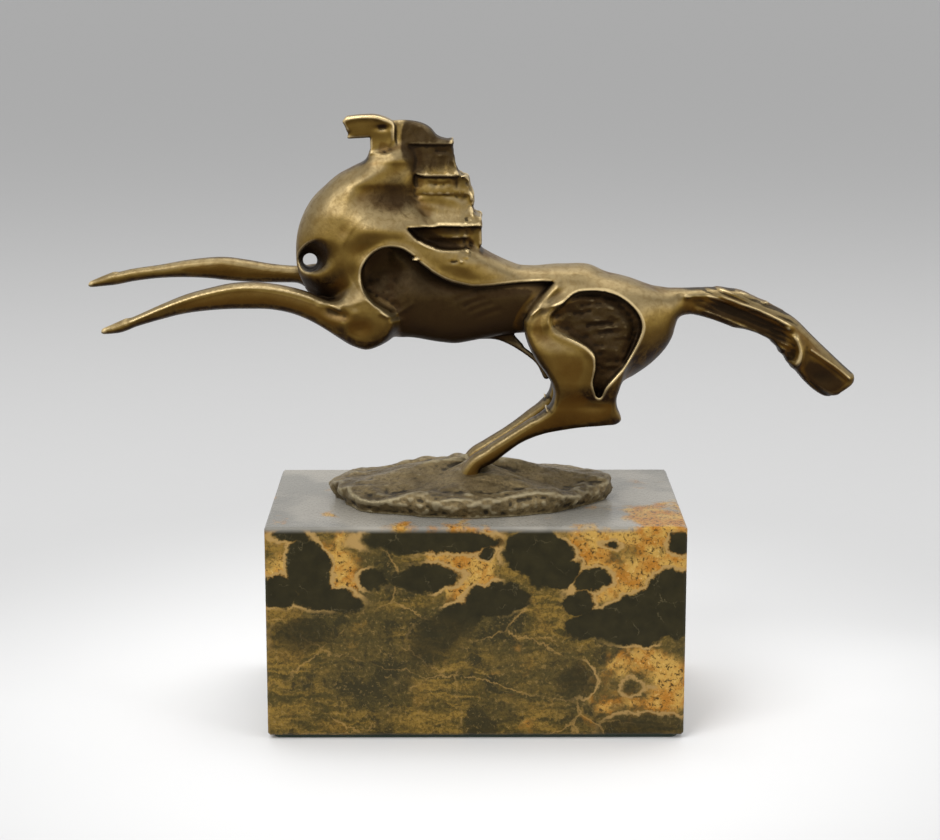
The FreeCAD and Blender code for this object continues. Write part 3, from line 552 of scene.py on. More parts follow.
def sculpt_mane(field):
    """A slab of stepped plates behind the neck, each one sticking out over the next."""
    cut, x, y, z, slab = outline_over(field, MANE)
    away = np.abs(y)
    streaks = noise_mm((x, y, z), (1.5, 60.0, 7.0), 21) * 0.2
    streaks = streaks + noise_mm((x, y, z), (3.0, 60.0, 2.5), 23) * 0.14
    # top and shelf height, half width at the top and at the shelf, and the softness of the join
    for top, shelf, narrow, broad, soft in ((194, 178, 6.0, 7.4, 3.0), (200.4, 192.6, 6.1, 7.2, 0.8),
                                            (212.0, 199.1, 5.0, 7.8, 0.7), (220.5, 210.4, 4.2, 6.2, 0.7)):
        dip = 1.9 * smooth_step(-18, -27, x) if shelf == 199.1 else 0 * x
        fade = 0.9 * smooth_step(-11, -6, x) if shelf == 192.6 else 0 * x
        share = np.clip((top - z) / (top - shelf), 0, 1)
        half = narrow + (broad - narrow) * share ** 1.4 - fade - 2.2 * smooth_step(-16, -25, x)
        face = smooth_max(away - half + streaks, slab, 1.6)
        plate = smooth_max(face, np.maximum(shelf + dip - z, z - top), 0.5)
        field.add(cut, plate, soft)
    for side in SIDES.values():
        ridge(field, [(-15.5, 208.4), (-12, 208.0), (-8.6, 208.2)], -0.35, 0.7, side)
        ridge(field, [(-14.5, 206.6), (-11.5, 206.8), (-9, 206.7)], 0.25, 0.7, side)
        ridge(field, [(-18, 197.0), (-13, 196.2), (-8, 196.8)], -0.3, 0.7, side)
    shade_under(field, pad_shape, MANE_SHADOW, 0, 9.0, puffy=1.7, round_mm=1.0)
    # the back edge is left rough
    edge = smooth_step(2.6, 0.4, np.abs(slab)) * smooth_step(-12, -7, x)
    field.f[cut] += edge * noise_mm((x, y, z), (1.8, 1.8, 1.8), 31) * 0.45


def sculpt_head(field):
    """A boxy muzzle on a squared throat, with a hollow for the eye and a lip round the top."""
    cut, x, y, z, head = outline_over(field, HEAD)
    half = 4.3 + 0.5 * smooth_step(213, 206, z) - 0.5 * smooth_step(-36, -46, x)
    field.add(cut, smooth_max(head, np.abs(y) - half, 0.9), 0.7)
    ridge(field, [(-47.4, 218.6), (-45, 219.4), (-35, 219.7), (-31, 218.4)], 0.3, 0.8)
    dent(field, (-33.6, 216.2), -0.8, 2.0, 0.8)
    ridge(field, [(-30.4, 217.6), (-30.2, 213), (-30.8, 208.6)], 0.4, 1.0)
    ridge(field, [(-37.6, 207.4), (-29.8, 207.2)], 0.3, 0.6, fade=False)
    dent(field, (-32.6, 207.6), -0.4, 1.2, 0.45)
    dent(field, (-45.6, 214.2), -0.5, 0.8, 0.9)


def sculpt_tail(field):
    """The tail is held out flat, hollowed along its side, folded over once, and cut off square."""
    tail_wide = along_x((66, 5.2), (88, 5.6), (110, 5.8), (125, 5.4), (140, 4.2))
    pad_shape(field, TAIL, 0, tail_wide, puffy=1.05, round_mm=3.0)
    ridge(field, [(74, 155.6), (87.8, 155.0), (95.3, 152.6), (104.3, 149.9), (110.5, 146.6), (116.5, 142.6)],
          0.75, 1.2)
    ridge(field, [(84, 152.4), (93, 150.0), (102, 146.4), (109.5, 141.8), (114.6, 136.4)], -2.2, 2.8)
    ridge(field, [(82, 156.6), (95, 155.2), (104, 152.2), (112, 148.4), (119, 143.2)], -0.3, 0.9)
    ridge(field, [(79, 150.6), (88, 148.8), (95, 146.8)], 0.5, 0.9)
    ridge(field, [(115.6, 142.6), (118, 138.2), (119.0, 134), (118, 130.6), (115.2, 129.2)], 1.3, 1.5)
    dent(field, (115.3, 133.0), -1.6, 1.8, 2.4)
    ridge(field, [(121.4, 136.6), (127.8, 132.2), (134.4, 127.4), (139.0, 123.4)], 0.55, 0.9)
    dent(field, (127, 125.5), -1.3, 6.5, 4.2)
    ridge(field, [(139.2, 123.6), (136.4, 120.4), (132.4, 117.2)], 0.4, 0.9)
    for offset in (-1.2, 0.6, 2.4, 4.2):
        ridge(field, [(122 + offset, 124.6 - offset), (126.4 + offset, 120.6 - offset * 0.6),
                      (130.6 + offset, 117.8 - offset * 0.2)], -0.3, 0.55)
    # painted shade along the tail's side hollow and round its end
    for hollow in (TAIL_HOLLOW, TAIL_END):
        shade_under(field, pad_shape, hollow, 0, 9.5, puffy=1.7, round_mm=2.0)
    cut, x, y, z = field.over(TAIL)
    along = z + 0.42 * (x - 90)  # the strands run down the tail's slope
    strands = np.sin(along * 3.1) * 0.16 + noise_mm((x, y, z), (9.0, 60.0, 1.2), 41) * 0.2
    field.f[cut] += strands * smooth_step(80, 88, x) * smooth_step(119, 112, x)


def sculpt_forelegs(field):
    """Long tapering forelegs with a crease along the top, the near one running into its elbow."""
    near_wide = along_x((-134, 3.4), (-90, 5.2), (-60, 6.2), (-44, 7.2))
    off_wide = along_x((-143, 3.0), (-100, 4.6), (-60, 5.4))
    near_join = along_x((-54, 1.2), (-43, 6.0))
    pad_shape(field, NEAR_FORELEG, -13.6, near_wide, puffy=0.9, round_mm=near_join)
    pad_shape(field, SHOULDER_WEB, -11.5, 7.8, puffy=1.0, round_mm=6.0)
    pad_shape(field, OFF_FORELEG, 14.0, off_wide, puffy=0.9, round_mm=2.0)
    pad_shape(field, OFF_ELBOW, 13.6, 7.0, puffy=0.9, round_mm=5.0)
    rod_shape(field, [(-134.0, -13.6, 144.3), (-126, -13.6, 147.0)], [0.9, 1.6], 1.5)
    rod_shape(field, [(-142.4, 14.0, 157.3), (-134, 14.0, 159.9)], [0.9, 1.6], 1.5)
    near = SIDES["near"]
    ridge(field, [(-126, 147.4), (-112.3, 153.0), (-96.1, 158.4), (-84, 160.5), (-72, 160.0), (-61.6, 157.6),
                  (-53.6, 154.6), (-47, 152.4)], 0.45, 1.0, near)
    ridge(field, [(-56, 154.4), (-51, 151.6), (-47, 150.9), (-43, 151.6)], -0.9, 1.9, near)
    dent(field, (-41.5, 146.0), -0.9, 4.0, 3.0, near)
    ridge(field, [(-58, 148.6), (-52.6, 145.4), (-47.6, 142.6)], 0.25, 0.9, near)


def sculpt_twig(field):
    """A twig of bronze that joins the belly and the near leg, and its short fork."""
    stem = [(2, 0, 141), (9, -1, 139.6), (14, -2.5, 137.4), (19, -4, 134.4), (23, -5, 131), (26, -6, 126)]
    fork = [(11, -1, 140.8), (14, -2, 139.6), (16.5, -3, 137)]
    for twig, radii in ((stem, [1.9, 1.2, 1.0, 1.0, 0.9, 1.2]), (fork, [1.5, 0.9, 0.8])):
        rod_shape(field, twig, radii, 1.5)
        # painted shade round the twig and its fork
        shade_under(field, rod_shape, twig, [radius + 4 for radius in radii], 2.0)


def sculpt_horse():
    """The whole horse as one field, its forms first and then what is cut into them."""
    low, high = box_mm(*CASTINGS)
    field = Field(low - 3, high + 3, STEP)
    sculpt_trunk(field)
    sculpt_neck(field)
    sculpt_flanks(field)
    sculpt_forelegs(field)
    sculpt_bowls(field)
    sculpt_haunches(field)
    sculpt_withers(field)
    sculpt_mane(field)
    sculpt_head(field)
    sculpt_tail(field)
    sculpt_twig(field)
    return field


# ---------------------------------------------------------------- skin
BEND_MM = 1.1  # how far round a point each measure looks
DIP_MM = 4.0
ROOM_MM = 4.5


def sample(grid, places):
    """Values of a grid between its points, at places in cells."""
    places = np.clip(places, 0, np.array(grid.shape) - 1.001)
    cell = places.astype(int)
    share = places - cell
    out = np.zeros(len(places), np.float32)
    for corner in np.ndindex(2, 2, 2):
        weight = np.prod(np.where(corner, share, 1 - share), axis=1)
        index = cell + corner
        out += weight * grid[index[:, 0], index[:, 1], index[:, 2]]
    return out


def slope_at(grid, places, reach):
    """The uphill direction of a grid at places in cells, as unit vectors, and the slope's size."""
    parts = []
    for axis in range(3):
        offset = np.zeros(3)
        offset[axis] = reach
        parts.append((sample(grid, places + offset) - sample(grid, places - offset)) / (2 * reach))
    slope = np.stack(parts, axis=1)
    size = np.linalg.norm(slope, axis=1)[:, None]
    return slope / np.maximum(size, 1e-6), np.maximum(size, 1e-3)


def bend_at(grid, places, reach, cell):
    """How sharply the surface bends at places in cells: above zero on edges, below zero in creases."""
    total = -6 * sample(grid, places)
    for axis in range(3):
        for way in (-1, 1):
            offset = np.zeros(3)
            offset[axis] = way * reach
            total += sample(grid, places + offset)
    return total / (reach * cell) ** 2


def largest_piece(count, quads):
    """Leaves only the quads of the largest connected surface."""
    label = np.arange(count)
    a = quads[:, [0, 1, 2, 3]].ravel()
    b = quads[:, [1, 2, 3, 0]].ravel()
    while True:
        lowest = np.minimum(label[a], label[b])
        changed = label.copy()
        np.minimum.at(changed, a, lowest)
        np.minimum.at(changed, b, lowest)
        changed = changed[changed]
        if (changed == label).all():
            break
        label = changed
    names, counts = np.unique(label[quads[:, 0]], return_counts=True)
    return quads[label[quads[:, 0]] == names[counts.argmax()]]


def skin(field):
    """The closed surface of a field: points in millimetres, quads, outward normals and shading measures.

    The measures at each point are how sharply the skin bends, whether it lies in a broad hollow, how open
    the space in front of it is, and how deep it was cut below the uncut form.
    """
    grid = openvdb.FloatGrid(EMPTY)
    grid.copyFromArray(np.clip(field.f, -3, 3))
    places, quads = grid.convertToQuads(isovalue=0.0)
    places = places.astype(np.float64)
    quads = quads.astype(np.int64)
    for _ in range(3):
        uphill, size = slope_at(field.f, places, 0.5)
        step = np.clip(sample(field.f, places)[:, None] / size, -0.4, 0.4)
        places = places - uphill * step
    quads = largest_piece(len(places), quads)
    used, quads = np.unique(quads, return_inverse=True)
    quads = quads.reshape(-1, 4)
    places = places[used]
    normals, _ = slope_at(field.f, places, 1.0)
    corner = [places[quads[:, number]] for number in range(4)]
    facing = np.cross(corner[2] - corner[0], corner[3] - corner[1])
    if (facing * normals[quads[:, 0]]).sum() < 0:
        quads = quads[:, ::-1]
    ahead = places + normals * (ROOM_MM / field.step)
    measures = {"bend": bend_at(field.f, places, BEND_MM / field.step, field.step),
                "dip": bend_at(field.f, places, DIP_MM / field.step, field.step),
                "room": np.clip(sample(field.f, ahead) / ROOM_MM, 0, 1),
                "deep": 0 * normals[:, 0]}
    if field.uncut is not None:
        measures["deep"] = np.maximum(-sample(field.uncut, places), 0)
    return places * field.step + field.low, quads, normals, measures


def as_bmesh(points, quads, normals, measures):
    """The skin as a bmesh in metres that carries its normals and shading measures."""
    mesh = bpy.data.meshes.new("whole_skin")
    mesh.from_pydata((points * MM).tolist(), [], quads.tolist())
    packed = np.ascontiguousarray(normals, np.float32).ravel()
    mesh.attributes.new("skin_normal", "FLOAT_VECTOR", "POINT").data.foreach_set("vector", packed)
    for name, values in measures.items():
        mesh.attributes.new(name, "FLOAT", "POINT").data.foreach_set("value", values.astype(np.float32))
    whole = bmesh.new()
    whole.from_mesh(mesh)
    bpy.data.meshes.remove(mesh)
    return whole


def finish_piece(shape, name, nodes, material):
    """Turns a closed bmesh that carries skin normals into a piece that stands for some CAD nodes."""
    mesh = bpy.data.meshes.new(name)
    shape.to_mesh(mesh)
    shape.free()
    stored = np.zeros(len(mesh.vertices) * 3, np.float32)
    mesh.attributes["skin_normal"].data.foreach_get("vector", stored)
    mesh.attributes.remove(mesh.attributes["skin_normal"])
    mesh.shade_smooth()
    stored = stored.reshape(-1, 3)
    stored /= np.maximum(np.linalg.norm(stored, axis=1), 1e-6)[:, None]
    mesh.normals_split_custom_set_from_vertices(stored.tolist())
    mesh.materials.append(material)
    piece = bpy.data.objects.new(name, mesh)
    bpy.context.scene.collection.objects.link(piece)
    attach(piece, "root")
    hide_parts(*nodes)


# Where the figure is parted: a point and a direction of each cut in millimetres, what is cut, and the CAD
# nodes that the part beyond it stands for.
CUTS = (
    ("horse_head", (0, 0, 207.5), (0, 0, 1), lambda x, y, z: z > 195, ("head_casting", "mane_casting")),
    ("near_foreleg_horn", (-66.5, 0, 0), (-1, 0, 0), lambda x, y, z: (y < 0) & (x < -50) & (z < 163),
     ("near_foreleg",)),
    ("off_foreleg_horn", (-67.5, 0, 0), (-1, 0, 0), lambda x, y, z: (y > 0) & (x < -50), ("off_foreleg",)),
    ("horse_tail", (77.5, 0, 0), (1, 0, 0), lambda x, y, z: x > 70, ("tail_casting",)),
    ("near_shank", (20, 0, 104.5), (-0.9, 0, -0.45), lambda x, y, z: (y < 0) & (z < 120) & (x < 40),
     ("near_hind_leg",)),
    ("off_shank", (17, 0, 105.5), (-0.9, 0, -0.45), lambda x, y, z: (y > 0) & (z < 120) & (x < 40),
     ("off_hind_leg",)),
)


def centres(shape):
    """The middle of every face of a bmesh, in millimetres."""
    return np.array([face.calc_center_median()[:] for face in shape.faces]) / MM


def part_skin(whole):
    """Cuts the skin along each cut's plane and gives each face the number of its piece, 0 for the body."""
    for _, point, way, region, _ in CUTS:
        middle = centres(whole)
        away = (middle - point) @ np.array(way)
        near = region(*middle.T) & (np.abs(away) < 3 * STEP)
        faces = [face for face, chosen in zip(whole.faces, near) if chosen]
        edges = {edge for face in faces for edge in face.edges}
        verts = {vert for face in faces for vert in face.verts}
        bmesh.ops.bisect_plane(whole, geom=[*faces, *edges, *verts], dist=1e-7, plane_co=Vector(point) * MM,
                               plane_no=Vector(way))
    middle = centres(whole)
    number = np.zeros(len(middle), int)
    for index, (_, point, way, region, _) in enumerate(CUTS):
        beyond = (middle - point) @ np.array(way) > 0
        number[beyond & region(*middle.T)] = index + 1
    return number


def take_part(whole, number, wanted):
    """A copy of one part of the skin, with its cut ends closed."""
    shape = whole.copy()
    shape.faces.ensure_lookup_table()
    others = [face for face, part in zip(shape.faces, number) if part != wanted]
    bmesh.ops.delete(shape, geom=others, context="FACES")
    rim = [edge for edge in shape.edges if edge.is_boundary]
    caps = bmesh.ops.holes_fill(shape, edges=rim, sides=0)["faces"]
    bmesh.ops.triangulate(shape, faces=caps)
    return shape


def make_horse(material):
    """The body, and a piece beyond each cut."""
    whole = as_bmesh(*skin(sculpt_horse()))
    number = part_skin(whole)
    finish_piece(take_part(whole, number, 0), "horse_body", ("body_casting",), material)
    for index, (name, _, _, _, nodes) in enumerate(CUTS):
        finish_piece(take_part(whole, number, index + 1), name, nodes, material)
    whole.free()


# ---------------------------------------------------------------- ground
def make_ground(material):
    """The casting under the hooves: a low dome of rough ground with a thick, crumbled rim."""
    low, high = box_mm("ground_casting")
    rest = high_of_marble()
    step = 0.5
    field = Field((low[0] - 2, low[1] - 2, rest - 2), (high[0] + 2, high[1] + 2, high[2] + 4), step)
    cut, x, y, z = field.window((-999, -999, -999), (999, 999, 999))
    middle = (low + high) / 2
    half = (high - low) / 2
    around = np.arctan2((y - middle[1]) / half[1], (x - middle[0]) / half[0])
    wobble = 0.022 * np.sin(3 * around + 1.1) + 0.016 * np.sin(5 * around + 0.4)
    wobble = wobble + 0.012 * np.sin(8 * around + 2.0)
    reach = np.hypot((x - middle[0]) / half[0], (y - middle[1]) / half[1]) / (0.968 + wobble)
    crumbs = noise_mm((x, y, z), (6.0, 6.0, 4.0), 61, 3)
    lumps = noise_mm((x, y, z), (15.0, 9.0, 60.0), 71, 3)
    folds = noise_mm((x, y, z), (9.0, 3.2, 60.0), 77, 2)
    side = (reach - 1) * half[1] + (crumbs * 0.8 + lumps * 0.9) * smooth_step(0.7, 0.95, reach)
    side = side + 1.6 * smooth_step(5, 0, z - rest) - 0.8
    rim_high = 7.2 + 0.9 * np.sin(4 * around + 0.6) + 0.7 * np.sin(7 * around + 1.9)
    dome = rim_high + (high[2] - 1.2 - rest - 7.2) * (1 - smooth_step(0.0, 1.02, reach) ** 1.2)
    lip = 0.7 * np.exp(-((reach - 0.9) / 0.06) ** 2)
    coarse = 0.3 + 0.4 * smooth_step(0.6, 0.9, reach)
    top = z - rest - dome - lip - lumps * 0.85 - folds * 0.45 - crumbs * coarse
    field.f[cut] = np.maximum(smooth_max(side, top * 0.92, 1.6), rest - z)
    finish_piece(as_bmesh(*skin(field)), "cast_ground", ("ground_casting",), material)


def high_of_marble():
    """The height of the marble's top face, in millimetres."""
    return box_mm("marble_block")[1][2]


# ---------------------------------------------------------------- felt
def make_felt(material):
    """The felt glued under the block, cut a little smaller than it and rounded at its corners."""
    low, high = box_mm("felt_sheet")
    corner = 3.0
    shape = bmesh.new()
    rows = []
    for share in range(4):
        for turn in range(9):
            angle = math.radians(share * 90 + turn * 90 / 8)
            centre_x = (high[0] - corner) if share in (0, 3) else (low[0] + corner)
            centre_y = (high[1] - corner) if share in (0, 1) else (low[1] + corner)
            rows.append((centre_x + corner * math.cos(angle), centre_y + corner * math.sin(angle)))
    levels = ((0.12, low[2]), (0.0, low[2] + 0.12), (0.0, high[2] - 0.12), (0.12, high[2]))
    middle = (low + high) / 2
    rings = []
    for inset, height in levels:
        ring = []
        for x, y in rows:
            shrink_x = 1 - inset / (high[0] - middle[0])
            shrink_y = 1 - inset / (high[1] - middle[1])
            place = ((x - middle[0]) * shrink_x + middle[0], (y - middle[1]) * shrink_y + middle[1], height)
            ring.append(shape.verts.new(Vector(place) * MM))
        rings.append(ring)
    for lower, upper in zip(rings, rings[1:]):
        for index in range(len(lower)):
            on = (index + 1) % len(lower)
            shape.faces.new((lower[index], lower[on], upper[on], upper[index]))
    shape.faces.new(list(reversed(rings[0])))
    shape.faces.new(rings[-1])
    mesh = bpy.data.meshes.new("felt_underlay")
    shape.to_mesh(mesh)
    shape.free()
    mesh.materials.append(material)
    piece = bpy.data.objects.new("felt_underlay", mesh)
    bpy.context.scene.collection.objects.link(piece)
    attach(piece, "root")
    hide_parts("felt_sheet")


# ---------------------------------------------------------------- material helpers
class Graph:
    """One material's node graph, built from its sockets outwards."""

    def __init__(self, name):
        self.material = bpy.data.materials.new(name)
        self.material.use_nodes = True
        self.tree = self.material.node_tree
        self.tree.nodes.clear()
        self.shader = self.add("ShaderNodeBsdfPrincipled")
        output = self.add("ShaderNodeOutputMaterial")
        self.tree.links.new(self.shader.outputs[0], output.inputs["Surface"])

    def add(self, kind, inputs=(), **settings):
        """A node with some inputs set or wired, and some settings."""
        node = self.tree.nodes.new(kind)
        for name, value in settings.items():
            setattr(node, name, value)
        for key, value in dict(inputs).items():
            self.plug(value, node.inputs[key])
        return node

    def plug(self, value, socket):
        """Wires a socket into another one, or sets its value."""
        if isinstance(value, bpy.types.NodeSocket):
            self.tree.links.new(value, socket)
        else:
            socket.default_value = value

    def set(self, **inputs):
        """Sets or wires the shader's own sockets."""
        for name, value in inputs.items():
            self.plug(value, self.shader.inputs[name.replace("_", " ").title().replace("Ior", "IOR")])

    def place(self):
        """The point's place on the object, in millimetres."""
        coordinates = self.add("ShaderNodeTexCoord").outputs["Object"]
        return self.add("ShaderNodeVectorMath", {0: coordinates, 3: 1 / MM}, operation="SCALE").outputs[0]

    def stretch(self, vector, x, y, z):
        """A place scaled by a different amount along each axis."""
        return self.add("ShaderNodeVectorMath", {0: vector, 1: (x, y, z)}, operation="MULTIPLY").outputs[0]

    def noise(self, vector, scale, detail=4.0, roughness=0.55, distortion=0.0):
        """Cloudy noise, from 0 to 1."""
        settings = {"Vector": vector, "Scale": scale, "Detail": detail, "Roughness": roughness,
                    "Distortion": distortion}
        return self.add("ShaderNodeTexNoise", settings).outputs["Fac"]

    def cells(self, vector, scale):
        """Distance to the edge between scattered cells."""
        settings = {"Vector": vector, "Scale": scale, "Randomness": 1.0}
        return self.add("ShaderNodeTexVoronoi", settings, feature="DISTANCE_TO_EDGE").outputs["Distance"]

    def math(self, operation, a, b=0.0):
        """One sum on two values."""
        return self.add("ShaderNodeMath", {0: a, 1: b, 2: 0.0}, operation=operation).outputs[0]

    def plus(self, a, b):
        """a and b added."""
        return self.math("ADD", a, b)

    def less(self, a, b):
        """a with b taken away."""
        return self.math("SUBTRACT", a, b)

    def times(self, a, b):
        """a multiplied by b."""
        return self.math("MULTIPLY", a, b)

    def most(self, a, b):
        """The higher of a and b."""
        return self.math("MAXIMUM", a, b)

    def least(self, a, b):
        """The lower of a and b."""
        return self.math("MINIMUM", a, b)

    def span(self, value, low, high, to_low=0.0, to_high=1.0):
        """value's place between low and high, as a smooth step."""
        limits = {"Value": value, "From Min": low, "From Max": high, "To Min": to_low, "To Max": to_high}
        return self.add("ShaderNodeMapRange", limits, interpolation_type="SMOOTHSTEP").outputs[0]

    def mix(self, share, a, b):
        """A colour that goes from a to b as share goes from 0 to 1."""
        a = (*a, 1.0) if isinstance(a, tuple) else a
        b = (*b, 1.0) if isinstance(b, tuple) else b
        return self.add("ShaderNodeMix", {0: share, 6: a, 7: b}, data_type="RGBA").outputs[2]

    def measure(self, name):
        """A measure that the piece's mesh carries."""
        return self.add("ShaderNodeAttribute", attribute_name=name).outputs["Fac"]

    def bump(self, height, distance, strength):
        """Sets the shader's surface relief."""
        node = self.add("ShaderNodeBump", {"Height": height, "Distance": distance, "Strength": strength})
        self.plug(node.outputs[0], self.shader.inputs["Normal"])


# ---------------------------------------------------------------- materials
def bronze():
    """Waxed olive-gold patina, rubbed pale on edges, with painted light and shade: a painted highlight on
    edges and upper sides, and painted shade, dark brown to near black, in hollows, creases and beneath.
    """
    graph = Graph("patinated_bronze")
    place = graph.place()
    bend = graph.measure("bend")
    broad = graph.noise(place, 0.045, 3.0, 0.6)
    mottle = graph.noise(place, 0.35, 5.0, 0.65, 0.4)
    fine = graph.noise(place, 2.2, 4.0, 0.7)
    # painted light and shade: what faces up is painted paler and what faces down near black
    normal = graph.add("ShaderNodeNewGeometry").outputs["Normal"]
    facing = graph.add("ShaderNodeSeparateXYZ", {0: normal}).outputs[2]
    facing = graph.plus(facing, graph.times(graph.less(broad, 0.5), 0.5))
    patina_and_painted_light = graph.mix(graph.span(facing, -0.40, -0.04), (0.014, 0.0055, 0.0015), (0.105, 0.058, 0.010))
    patina_and_painted_light = graph.mix(graph.span(facing, -0.10, 0.16), patina_and_painted_light, (0.235, 0.150, 0.034))
    patina_and_painted_light = graph.mix(graph.span(facing, 0.05, 0.50), patina_and_painted_light, (0.262, 0.196, 0.094))
    patina_and_painted_light = graph.mix(graph.span(mottle, 0.40, 0.70, 0.0, 0.45), patina_and_painted_light, (0.120, 0.068, 0.014))
    # painted shade: skin with little open room in front of it, or lying below the uncut form, is painted
    # near black
    hollow = graph.span(graph.plus(graph.measure("room"), graph.times(mottle, 0.2)), 0.95, 0.30)
    sunk = graph.plus(graph.measure("deep"), graph.times(mottle, 2.4))
    sunk = graph.span(sunk, 1.6, 4.4, 0.0, 0.88)
    # painted shade: broad hollows are painted dark brown
    dip = graph.span(graph.measure("dip"), -0.015, -0.16, 0.0, 0.6)
    patina_and_painted_light = graph.mix(dip, patina_and_painted_light, (0.080, 0.032, 0.002))
    dark = graph.most(graph.times(hollow, 0.92), sunk)
    patina_and_painted_light = graph.mix(dark, patina_and_painted_light, (0.022, 0.011, 0.004))
    # edge wear and painted highlight: convex edges, most of all those facing up, are painted pale gold
    worn_edge_and_highlight = graph.span(graph.plus(bend, graph.times(fine, 0.3)), 0.50, 1.15)
    pale_edge_and_highlight_share = graph.times(worn_edge_and_highlight, graph.span(facing, -0.4, 0.3, 0.10, 0.85))
    pale_edge_and_highlight_share = graph.times(pale_edge_and_highlight_share, graph.less(1.0, sunk))
    colour = graph.mix(pale_edge_and_highlight_share, patina_and_painted_light, (0.72, 0.56, 0.30))
    # painted shade: creases are painted near black
    crease = graph.span(bend, -0.22, -0.75)
    colour = graph.mix(graph.times(crease, 0.8), colour, (0.012, 0.007, 0.003))
    rough = graph.plus(graph.span(mottle, 0.3, 0.75, 0.42, 0.54), graph.times(dark, 0.15))
    rough = graph.less(rough, graph.times(worn_edge_and_highlight, 0.08))
    graph.set(base_color=colour, roughness=rough, metallic=0.92)
    dimples = graph.noise(place, 0.9, 3.0, 0.5)
    scratches = graph.noise(graph.stretch(place, 0.7, 0.7, 6.0), 1.0, 3.0, 0.6)
    height = graph.plus(graph.times(dimples, 0.8), graph.times(fine, 0.14))
    chased = graph.times(graph.times(scratches, dark), 0.8)
    graph.bump(graph.plus(height, chased), 0.16 * MM, 0.7)
    return graph.material


def ground_bronze():
    """Rough, sooty olive-brown casting, rubbed a little on its crests, which are also painted paler as a
    highlight, with painted shade in its creases.
    """
    graph = Graph("ground_patina")
    place = graph.place()
    bend = graph.measure("bend")
    broad = graph.noise(place, 0.06, 4.0, 0.6)
    grit = graph.noise(place, 0.8, 6.0, 0.7)
    fine = graph.noise(place, 3.0, 4.0, 0.7)
    colour = graph.mix(graph.span(broad, 0.35, 0.66), (0.115, 0.080, 0.032), (0.235, 0.172, 0.078))
    colour = graph.mix(graph.span(grit, 0.44, 0.66, 0.0, 0.6), colour, (0.052, 0.038, 0.018))
    # wear and painted highlight: convex crests are painted paler
    crest = graph.span(graph.plus(bend, graph.times(fine, 0.3)), 0.32, 0.95)
    colour = graph.mix(graph.times(crest, 0.6), colour, (0.40, 0.34, 0.21))
    # painted shade: creases are painted near black
    crease = graph.span(bend, -0.1, -0.6)
    colour = graph.mix(graph.times(crease, 0.8), colour, (0.010, 0.008, 0.005))
    graph.set(base_color=colour, roughness=graph.span(grit, 0.3, 0.7, 0.34, 0.52), metallic=0.65)
    height = graph.plus(grit, graph.times(fine, 0.3))
    graph.bump(height, 0.5 * MM, 0.8)
    return graph.material


# The dark stones of the block's front face: centre X and Z, half width and half height in millimetres, and
# tilt in degrees.
STONES = ((-18.0, 60.4, 12.2, 5.2, 3), (8.2, 52.4, 12.2, 6.2, 8), (-37.0, 59.6, 5.0, 3.0, -8),
          (21.5, 69.5, 12.5, 8.5, -4), (28.0, 62.0, 9.0, 5.5, 10), (41.9, 59.4, 6.6, 4.2, 6),
          (36.4, 51.4, 6.4, 4.6, -14), (60.0, 45.6, 17.5, 10.0, 14), (70.0, 50.0, 10.0, 13.0, 0),
          (42.0, 43.0, 10.5, 5.0, 8), (-59.0, 63.5, 8.5, 11.0, 12), (-52.0, 52.0, 13.0, 4.4, -4),
          (-70.0, 55.0, 6.5, 6.0, 0), (-16.0, 74.0, 24.0, 4.6, 0), (-66.0, 75.5, 6.0, 3.0, 0),
          (-25.3, 20.7, 3.1, 2.0, 6), (36.5, 22.0, 7.0, 6.4, 30), (60.0, 4.0, 15.0, 5.5, 4),
          (-12.0, 39.0, 16.0, 7.5, 40), (-62.0, 39.0, 12.5, 6.0, 4), (72.5, 73.0, 4.5, 4.0, 0),
          (56.5, 20.0, 3.4, 2.4, 0), (3.5, 69.5, 2.6, 2.4, 0), (47.6, 73.0, 2.4, 1.4, 0))
FACE_DEEP = 26.0  # how far the front's stones go into the block


def stone_gap(graph, place):
    """How far a point is outside the nearest dark stone of the front, in rough millimetres."""
    front = box_mm("marble_block")[0][1]
    nearest = None
    for x, z, half_x, half_z, tilt in STONES:
        node = graph.add("ShaderNodeMapping", {"Vector": place, "Location": (x, front, z),
                                               "Rotation": (0, math.radians(-tilt), 0),
                                               "Scale": (half_x, FACE_DEEP, half_z)}, vector_type="TEXTURE")
        length = graph.add("ShaderNodeVectorMath", {0: node.outputs[0]}, operation="LENGTH").outputs["Value"]
        gap = graph.times(graph.less(length, 1.0), min(half_x, half_z))
        nearest = gap if nearest is None else graph.least(nearest, gap)
    return nearest


